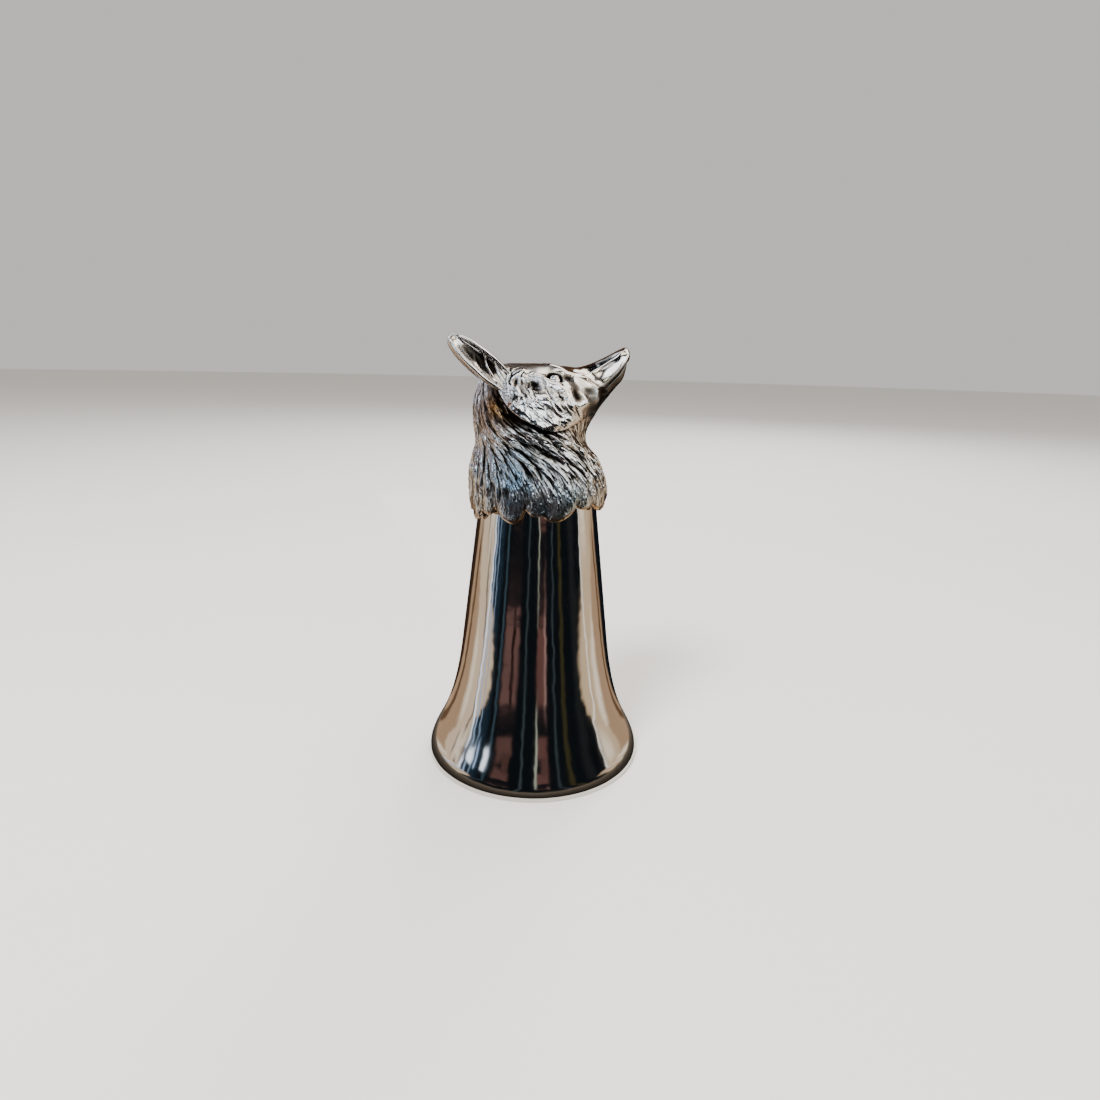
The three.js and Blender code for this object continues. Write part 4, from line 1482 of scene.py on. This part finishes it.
@dataclass
class Ear:
    """An ear: crescent sections along a curved line, with rolled rims and hair in its hollow."""

    form: HeadForm
    root: tuple = (-9.4, -9.4, 35.0)
    middle: tuple = (-19.4, -16.4, 42.4)
    tip: tuple = (-28.3, -15.6, 50.3)
    opening: tuple = (0.35, -0.85, 0.35)
    half_width: float = 4.35
    depth: float = 3.6
    wall: float = 1.15
    # The hollow is deepest towards the crown, and slopes up gently on the cheek's side
    lean: float = 0.5
    furrow_height: float = 0.07
    furrows: int = 30
    tuft_height: float = 0.6
    # How far painted shade darkens the hollow's depth, and how bright the finish leaves the rims
    hollow_shadow: float = 0.45
    rim_relief: float = 0.9
    rows: int = 150
    arc_columns: int = 48
    rim_columns: int = 8

    @staticmethod
    def ours(values: tuple, side: Side) -> Array:
        """A drawn point or direction of the right ear, taken to one side."""
        x, y, z = values
        return np.array([x, y if side is Side.RIGHT else -y, z])

    @property
    def inside(self) -> Array:
        """Which columns of a section lie in the hollow.

        Returns:
            True or False for each column.
        """
        columns = np.arange(2 * (self.arc_columns + self.rim_columns))
        start = self.arc_columns + self.rim_columns
        return (columns >= start) & (columns < start + self.arc_columns)

    def section(self, u: Array, lean: float) -> tuple[Array, Array, Array]:
        """How far the points of the sections lie across the ear and out of its opening.

        Args:
            u: way along the ear from root to tip, one row for each section.
            lean: how the hollow's depth changes across it.

        Returns:
            Both distances, for an outer arc, a rim, the shallower inner arc and the other rim,
            and how far each whole section is shifted outwards.
        """
        swell = 0.72 + 0.28 * smooth(u / 0.45)
        half_width = self.half_width * swell * np.sqrt(1 - u ** 3.2)
        depth = self.depth * (0.75 + 0.25 * swell) * np.sqrt(1 - u ** 2.6)
        wall = np.minimum(self.wall, half_width * 0.5)
        hollow = np.maximum(depth - wall, 0) * smooth((u - 0.16) / 0.3)
        hollow = hollow * (1 - 0.85 * smooth((u - 0.8) / 0.16))
        outer = np.linspace(-math.pi / 2, math.pi / 2, self.arc_columns)
        inner = outer[::-1]
        rim = np.linspace(0, math.pi, self.rim_columns + 2)[1:-1]
        across = np.hstack([
            half_width * np.sin(outer),
            half_width - wall / 2 + wall / 2 * np.cos(rim),
            (half_width - wall) * np.sin(inner),
            -(half_width - wall / 2) + wall / 2 * np.cos(rim),
        ])
        out = np.hstack([
            -depth * np.cos(outer),
            wall / 2 * np.sin(rim),
            -hollow * np.cos(inner) ** 1.4 * (0.72 + lean * np.sin(inner)),
            wall / 2 * np.sin(rim),
        ])
        return across, out, depth / 2

    def build(self, side: Side, finish: Material) -> None:
        """Make one ear, along a quadratic Bezier curve.

        Args:
            side: the fox's right or left.
            finish: its material.
        """
        a, b, c = (self.ours(p, side) for p in (self.root, self.middle, self.tip))
        opening = self.ours(self.opening, side)
        u = (np.sin(math.pi / 2 * np.linspace(0, 1, self.rows)) * 0.9995)[:, None]
        centre = (1 - u) ** 2 * a + 2 * u * (1 - u) * b + u ** 2 * c
        direction = unit(2 * (1 - u) * (b - a) + 2 * u * (c - b))
        face = unit(opening - (direction @ opening)[:, None] * direction)
        across = np.cross(direction, face)
        lean = self.lean * np.sign(across[len(u) // 2] @ self.ours((1.0, 0.0, 1.0), side))
        wide, out, shift = self.section(u, lean)
        drawn = (centre[:, None] + across[:, None] * wide[..., None]
                 + face[:, None] * (shift + out)[..., None])
        normals = grid_normals(drawn)
        away = drawn - drawn.mean(axis=1, keepdims=True)
        sign = 1.0 if (normals * away).sum() > 0 else -1.0
        hair = self.hair(u)
        points = self.form.placed(drawn + sign * normals * hair[..., None])
        faces = tube(*wide.shape)
        if sign < 0:
            faces = [corner[::-1] for corner in faces]
        ends = np.array([points[0].mean(axis=0), points[-1].mean(axis=0)])
        relief_and_shade = self.relief_and_shade(hair, out)
        piece = make_piece(
            f"ear_casting_{side.name.lower()}", np.vstack([points.reshape(-1, 3), ends]), faces,
            finish, values={"relief_and_shade": np.append(relief_and_shade.reshape(-1), [0.5, 0.8])},
        )
        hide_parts(f"ear_{side.name.lower()}")

    def relief_and_shade(self, hair: Array, out: Array) -> Array:
        """Relief and painted shade for the finish: bright hair and rims, shade in the hollow's depth.

        Args:
            hair: height of the hair.
            out: how far points lie out of the opening.

        Returns:
            A value from 0 to 1 for each point.
        """
        relief_and_shade = np.clip(0.55 + 2.6 * (hair - blurred(hair, 3)), 0, 1)
        # Painted shade in the depth of the hollow
        shadow = self.hollow_shadow * smooth((-out - 0.7) / 0.5)
        relief_and_shade = np.where(self.inside, np.clip(relief_and_shade - shadow, 0, 1), relief_and_shade)
        outside = np.arange(len(self.inside)) < self.arc_columns
        return np.where(self.inside | outside, relief_and_shade, self.rim_relief)

    def hair(self, u: Array) -> Array:
        """Height of the ear's hair: fine furrows outside, and slanting tufts in the hollow.

        Args:
            u: way along the ear from root to tip, one row for each section.

        Returns:
            Drawn millimetres for each point.
        """
        columns = len(self.inside)
        place = np.arange(columns) / columns
        wander = 0.5 * np.sin(7 * u + 2) + 0.2 * np.sin(17 * u)
        ends = smooth(u / 0.1) * smooth((0.86 - u) / 0.1)
        back = np.sin(math.pi * np.clip(place / self.inside.argmax() * columns, 0, 1)) ** 0.5
        furrows = np.abs(np.sin(math.pi * (self.furrows * place + wander))) * ends * back
        slant = 2 * math.pi * (4.6 * u + 4.2 * place + 0.3 * np.sin(6 * u + 7 * place))
        tufts = np.clip(np.cos(slant), 0, 1) ** 3 * smooth((u - 0.1) / 0.15) * smooth((0.66 - u) / 0.2)
        return np.where(self.inside, self.tuft_height * tufts, self.furrow_height * furrows)


@dataclass
class SolderSeam:
    """The ring of solder between the beaker's end and the neck of the head."""

    beaker: Beaker
    form: HeadForm
    wall: float = 1.7
    gap: float = 0.3
    height: float = 4.5
    below_end: float = 2.5
    # How far the two faces bow inwards, as a meniscus does
    bow: float = 0.5
    steps: int = 7
    segments: int = 96

    def build(self, finish: Material) -> None:
        """Spin a band between the beaker and the head, whose outer edge follows the hollow.

        Args:
            finish: its material.
        """
        top = self.beaker.height - self.below_end
        share = np.linspace(0, 1, self.steps)[:, None]
        column = np.arange(self.segments)
        s, turn = np.broadcast_arrays(np.linspace(0, 5, 120)[:, None], column * 360 / self.segments)
        hollow = self.form.placed(self.form.plain(s, turn))
        hollow = hollow - (self.wall + self.gap) * self.form.outward(s, turn)
        rows = []
        for z, bow in ((top - self.height, self.bow), (top, -self.bow)):
            x, y, _ = hollow[np.abs(hollow[..., 2] - z).argmin(axis=0), column].T
            inner = self.beaker.taper_radius(z) + self.gap
            radius = inner + share * (np.hypot(x, y) - inner)
            rows.append(around(radius, np.arctan2(y, x), z + bow * np.sin(math.pi * share)))
        ring = np.vstack([rows[0], rows[1][::-1]])
        faces = grid_quads(len(ring) + 1, self.segments, closed=True)
        faces = (np.array(faces) % (len(ring) * self.segments)).tolist()
        piece = make_piece("solder_seam", ring.reshape(-1, 3), faces, finish)
        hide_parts("neck_solder_ring")


# Studio


@dataclass(frozen=True)
class Band:
    """A band of light painted inside the tent, with turns from the photo's camera towards +X."""

    middle: float
    width: float
    colour: str
    strength: float
    low: float = -90.0
    high: float = 60.0
    soft: float = 2.0
    soft_tilt: float = 6.0
    # How far the band leans: slant times a smooth step, from slant_shift - slant_turn degrees
    # below slant_tilt to slant_shift + slant_turn above it, and slant_reach degrees of tilt wide
    slant: float = 0.0
    slant_turn: float = 10.4
    slant_shift: float = -6.0
    slant_tilt: float = -6.0
    slant_reach: float = 9.0

    def paint(self, paint: Array, tilt: Array, turn: Array) -> None:
        """Cover the paint with the band's light where the band is.

        Args:
            paint: linear colour of each point, which is changed.
            tilt: degrees of each row above the middle of the cup.
            turn: degrees of each column.
        """
        lean = self.slant_turn * np.tanh((tilt - self.slant_tilt) / self.slant_reach) + self.slant_shift
        middle = self.middle + self.slant * lean
        away = np.abs((turn - middle + CAMERA_TURN + 180) % 360 - 180)
        share = smooth((self.width / 2 - away) / self.soft + 0.5)
        for inside in (tilt - self.low, self.high - tilt):
            share = share * smooth(inside / self.soft_tilt + 0.5)
        light = np.array(linear(self.colour)[:3]) * self.strength
        paint[..., :3] += (light - paint[..., :3]) * share[..., None]


@dataclass
class Studio:
    """Pale floor, soft lights, a tent that only the metal sees, and the camera of the photo."""

    camera_at: tuple = (-29.5, -222.1, 131.0)
    look_turn: float = 8.7
    pitch: float = 15.0
    roll: float = 1.4
    focal_px: float = 700.0
    frame_px: float = 1100.0
    sensor: float = 36.0
    dark: str = "#1d2329"
    dark_strength: float = 0.6
    # What the lights look at, in metres, and the height that the bands' tilts start from
    aim: tuple = (0.0, 0.0, 0.08)
    middle: float = 0.06
    # The tent: where its floor starts, how high that lies, and its radius, in metres
    tent_start: float = 0.0372
    tent_lift: float = 0.0008
    tent_radius: float = 0.5
    sheet_columns: int = 1440
    bands: tuple[Band, ...] = (
        # Warm walls beside and behind, with a dark room in front and another behind
        Band(110, 44, "#cfac8c", 1.0, soft=4),
        Band(-110, 44, "#cfac8c", 1.0, soft=4),
        Band(121, 5, "#8a6a50", 0.7, soft=3),
        Band(-119, 6, "#8a6a50", 0.7, soft=3),
        Band(140, 24, "#20262e", 0.5, soft=8),
        Band(-142, 20, "#5a4030", 0.5, soft=8),
        Band(180, 120, "#7a5a44", 0.62, low=8, high=46, soft=12),
        # Brownish, olive and bluish things in the dark room
        Band(-34, 22, "#9a7470", 0.62, low=-17, high=-7.6, soft=6, soft_tilt=3),
        Band(-31, 4, "#3a2624", 0.4, low=-17, high=-8, soft=3, soft_tilt=3),
        Band(10, 13, "#936864", 0.62, low=-17, high=-7.5, soft=4, soft_tilt=3),
        Band(15, 3, "#c09a94", 0.8, low=-17, high=-7, soft_tilt=3),
        Band(-34, 18, "#8a6662", 0.58, low=3.4, high=13, soft=5, soft_tilt=2),
        Band(-30, 9, "#7d5c58", 0.5, low=11, high=36, soft=3),
        Band(10, 12, "#936864", 0.58, low=3.4, high=15, soft=4, soft_tilt=2),
        Band(13, 7, "#8a6460", 0.5, low=13, high=44, soft=3),
        Band(40, 5, "#5f5a3e", 0.5, high=24, soft=3, soft_tilt=16),
        Band(62, 10, "#2c3033", 0.8, soft=8),
        Band(-64, 12, "#31465a", 0.55, soft=8),
        Band(-50, 3, "#4a6070", 0.8),
        Band(27, 2, "#56646c", 0.7),
        Band(-12, 2.5, "#56646c", 0.6),
        Band(4, 1.6, "#e8efe0", 0.8, low=-6, high=40, soft=1, soft_tilt=10),
        # Tall windows on the left, and a narrow one on the right
        Band(-91, 18, "#f4e4cf", 1.5, soft=8),
        Band(-113, 34, "#ecd6bc", 1.25, high=12, soft=5, slant=-2.4),
        Band(-95, 3, "#5b5560", 0.7, high=12, soft=3, slant=-1.0),
        Band(-79, 2.6, "#dfe9ff", 2.2, soft=1.5),
        Band(-74, 2, "#a9c6ee", 1.4, soft=1.5),
        Band(-68, 1.2, "#a9c6ee", 1.0, soft=1),
        Band(92, 16, "#f4e4cf", 1.6, soft=8),
        Band(112, 26, "#e6cbab", 1.2, high=12, soft=9, slant=2.2),
        Band(82, 2, "#f6f1ea", 1.8, soft=1.5),
        Band(172, 4, "#dfe8f5", 2.0, soft=1.5),
        Band(-165, 8, "#dfe8f5", 2.4, soft=1.5),
        # Wood at the foot of the cup, which its lip shows, and bright streaks for the flare
        Band(0, 720, "#988a7a", 0.65, high=-46, soft_tilt=2),
        Band(0, 720, "#7d7268", 0.55, high=-50, soft_tilt=3),
        Band(0, 720, "#2a2622", 0.5, high=-57, soft_tilt=3),
        Band(-90, 36, "#1a222b", 0.5, low=4, soft=6, soft_tilt=4),
        Band(90, 44, "#17191c", 0.5, low=6, soft=16, soft_tilt=8),
        Band(104, 3, "#a9b6c8", 0.9, low=10, high=50, soft_tilt=4),
        Band(-98, 4, "#cfe2ff", 2.4, low=7, high=50, soft_tilt=3),
        Band(-86, 3, "#a9c6ee", 1.6, low=6, high=50, soft_tilt=3),
        Band(-72, 7, "#dcebff", 3.0, low=5, high=48, soft=3, soft_tilt=3),
        Band(-64, 2, "#a9c6ee", 2.0, low=4, high=44, soft=1.5),
        Band(-53, 5, "#dcebff", 2.8, low=7, high=46, soft_tilt=3),
        Band(-46, 2, "#a9c6ee", 1.4, low=16, high=40, soft=1.5),
        # Lamps overhead and to the sides, which the head's planes catch
        Band(88, 42, "#fff4e6", 4.0, low=30, high=62, soft=6),
        Band(-100, 26, "#e2edff", 3.4, low=28, soft=5),
        Band(-79, 5, "#cfe0ff", 3.6, low=26, high=58),
        Band(-70, 4, "#dbe8ff", 3.2, low=30, soft=1.5),
        Band(-60, 8, "#e6eeff", 4.0, low=30, high=62, soft=3),
        Band(-48, 4, "#dbe8ff", 3.0, low=34, high=62, soft=1.5),
        Band(-38, 7, "#eef3ff", 3.6, low=38, high=64, soft=3),
        Band(-14, 34, "#eef3ff", 4.2, low=54, high=74, soft=8),
        Band(38, 26, "#fff1dd", 3.4, low=50, high=68, soft=8),
        Band(150, 44, "#fff6ea", 3.4, low=46, high=66, soft=8),
        Band(-150, 30, "#f0f4ff", 2.6, low=44, high=54, soft=6),
        Band(104, 50, "#fff4e6", 3.4, low=62, high=80, soft=8),
        Band(0, 720, "#f6f3ee", 3.2, low=80, high=100, soft=8),
    )

    # A near ring at the head's height, which the beaker hardly sees: bright panels in front
    ring_radius: float = 0.16
    ring_low: float = 0.112
    ring_high: float = 0.25
    panels: tuple[Band, ...] = (
        Band(180, 130, "#7a5a44", 0.62, high=90, soft=16),
        Band(-86, 66, "#8a6236", 0.8, high=90, soft=8),
        Band(-112, 10, "#dbe6ff", 2.4, low=20, high=46, soft=3, soft_tilt=3),
        Band(-78, 4, "#cfe0ff", 2.6, low=20, high=46, soft_tilt=3),
        Band(-66, 3, "#dbe8ff", 2.4, low=20, high=46, soft_tilt=3),
        Band(-30, 26, "#d2e4f8", 3.6, low=22, high=41, soft=6, soft_tilt=4),
        Band(6, 18, "#f2f6fb", 4.0, low=22, high=41, soft=5, soft_tilt=4),
        Band(44, 26, "#fdfcff", 3.8, low=21, high=47, soft=5, soft_tilt=4),
        Band(72, 16, "#fffcf6", 3.6, low=21, high=50, soft=5, soft_tilt=4),
        Band(95, 14, "#fff6ea", 3.0, low=21, high=50, soft=4, soft_tilt=4),
        Band(-146, 12, "#f0f4ff", 2.2, low=22, high=42, soft=3, soft_tilt=4),
    )

    def camera(self) -> None:
        """The camera, from its measured place, pitch, roll and turn round the cup."""
        turn, pitch, roll = (math.radians(v) for v in (self.look_turn, self.pitch, self.roll))
        forward = np.array([0, math.cos(pitch), -math.sin(pitch)])
        rise = np.array([0, math.sin(pitch), math.cos(pitch)])
        side = np.array([1.0, 0, 0])
        right = side * math.cos(roll) + rise * math.sin(roll)
        up = -side * math.sin(roll) + rise * math.cos(roll)
        c, s = math.cos(turn), math.sin(turn)
        spin = np.array([[c, s, 0], [-s, c, 0], [0, 0, 1]])
        data = bpy.data.cameras.new("camera")
        data.sensor_width = self.sensor
        data.lens = self.sensor * self.focal_px / self.frame_px
        data.clip_start, data.clip_end = 0.005, 20.0
        camera = add_object("camera", data)
        place = np.array(self.camera_at) * MM
        camera.matrix_world = facing(spin @ right, spin @ up, spin @ -forward, place)
        bpy.context.scene.camera = camera

    def spun_sheet(self, name: str, profile: Array, material: Material,
                   colours: Array | None = None, columns: int = 96) -> bpy.types.Object:
        """A stage piece spun round the cup's axis, whose inner side is its front.

        Args:
            name: the piece's name.
            profile: radius and height of its rows in metres.
            material: its surface.
            colours: for each row and column, the linear colour of its glow.
            columns: points in each row, which start at -Y.

        Returns:
            The new object.
        """
        turn = np.arange(columns) * 2 * math.pi / columns - math.pi / 2
        points = around(profile[:, :1], turn, profile[:, 1:])
        mesh = smooth_mesh(name, points, grid_quads(len(profile), columns, closed=True))
        if colours is not None:
            layer = mesh.attributes.new("glow", "FLOAT_COLOR", "POINT")
            layer.data.foreach_set("color", colours.astype(np.float32).ravel())
        mesh.materials.append(material)
        sheet = add_object(name, mesh)
        return sheet

    def floor(self) -> None:
        """A plain pale floor."""
        inputs = {"Base Color": linear("#e9e5de"), "Roughness": 0.85}
        profile = np.array([[0.0001, 0.0], [0.5, 0.0], [6.0, 0.0]])
        self.spun_sheet("floor", profile, Surface("pale_floor").dress(inputs))

    def tent(self) -> None:
        """The tent and the ring round the cup, painted with bands like a dim room.

        The tent runs along the floor from near the cup, up a wall and over to the top.
        """
        flat = np.linspace(self.tent_start, self.tent_radius, 60)
        flat = np.stack([flat, np.full_like(flat, self.tent_lift)], axis=1)
        rise = np.linspace(0, math.pi / 2, 90)[1:-1]
        dome = self.tent_radius * np.stack([np.cos(rise), np.sin(rise)], axis=1) + [0, self.middle]
        top = [[0.0005, self.middle + self.tent_radius]]
        self.glowing_sheet("tent", np.vstack([flat, dome, top]), self.bands)
        z = np.linspace(self.ring_low, self.ring_high, 44)
        self.glowing_sheet("ring", np.stack([np.full_like(z, self.ring_radius), z], axis=1), self.panels)

    def glowing_sheet(self, name: str, profile: Array, bands: tuple[Band, ...]) -> None:
        """A sheet round the cup, painted with bands of light, that only reflections see.

        Args:
            name: the sheet's name.
            profile: radius and height of its rows in metres.
            bands: the bands, each painted over those before it.
        """
        columns = self.sheet_columns
        tilt = np.degrees(np.arctan2(profile[:, 1] - self.middle, profile[:, 0]))[:, None]
        turn = np.arange(columns)[None, :] * 360 / columns
        paint = np.ones((len(profile), columns, 4))
        paint[..., :3] = np.array(linear(self.dark)[:3]) * self.dark_strength
        for band in bands:
            band.paint(paint, tilt, turn)
        surface = Surface(f"{name}_glow")
        surface.material.cycles.emission_sampling = "NONE"
        surface.tree.nodes.clear()
        colour = surface.node("Attribute", {"attribute_name": "glow"}).outputs["Color"]
        light = surface.node("Emission", inputs={"Color": colour, "Strength": 1.0})
        surface.node("OutputMaterial", inputs={"Surface": light.outputs["Emission"]})
        sheet = self.spun_sheet(name, profile, surface.material, paint, columns)
        for rays in ("camera", "diffuse", "shadow", "transmission"):
            setattr(sheet, f"visible_{rays}", False)

    def lights(self) -> None:
        """Large soft lights above, which the metal doesn't mirror, and an even pale surround."""
        for name, place, size, power, colour in (
            ("key_light", (-0.55, -0.6, 1.1), 0.45, 26.0, "#f6f7ff"),
            ("top_light", (0.15, 0.1, 1.3), 0.9, 16.0, "#fff8ee"),
            ("back_light", (0.5, 1.0, 0.9), 0.6, 12.0, "#f4f6ff"),
        ):
            data = bpy.data.lights.new(name, "AREA")
            data.shape = "DISK"
            data.size = size
            data.energy = power
            data.color = linear(colour)[:3]
            light = add_object(name, data)
            light.visible_glossy = False
            back = unit(np.array(place) - np.array(self.aim))
            side = unit(np.cross([0.0, 0.0, 1.0], back))
            light.matrix_world = facing(side, np.cross(back, side), back, np.array(place))
        world = bpy.data.worlds.new("surround")
        bpy.context.scene.world = world
        world.use_nodes = True
        background = world.node_tree.nodes["Background"]
        background.inputs["Color"].default_value = linear("#efede9")
        background.inputs["Strength"].default_value = 0.75

    def build(self) -> None:
        """Set the whole stage."""
        self.camera()
        self.floor()
        self.tent()
        self.lights()


def main() -> None:
    """Build the cup and its stage."""
    logging.basicConfig(level=logging.INFO, format="%(name)s %(message)s")
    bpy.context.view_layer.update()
    polished = PolishedPewter().material()
    antiqued = AntiquedPewter().material()
    solder = SoftSolder().material()
    Studio().build()
    beaker = Beaker()
    beaker.build(polished)
    collar_overlap, collar_standoff, head_wall, drawn_collar = 9.5, 1.45, 1.7, 22.2
    hem_level = beaker.height - collar_overlap
    collar = beaker.taper_radius(hem_level) + collar_standoff + head_wall
    form = HeadForm(hem_level=hem_level, scale=collar / drawn_collar)
    FoxHead(form, Carving(form), Coat(form), wall=head_wall).build(antiqued)
    ear = Ear(form)
    for side in Side:
        ear.build(side, antiqued)
    SolderSeam(beaker, form, wall=head_wall).build(solder)


if __name__ == "__main__":
    main()
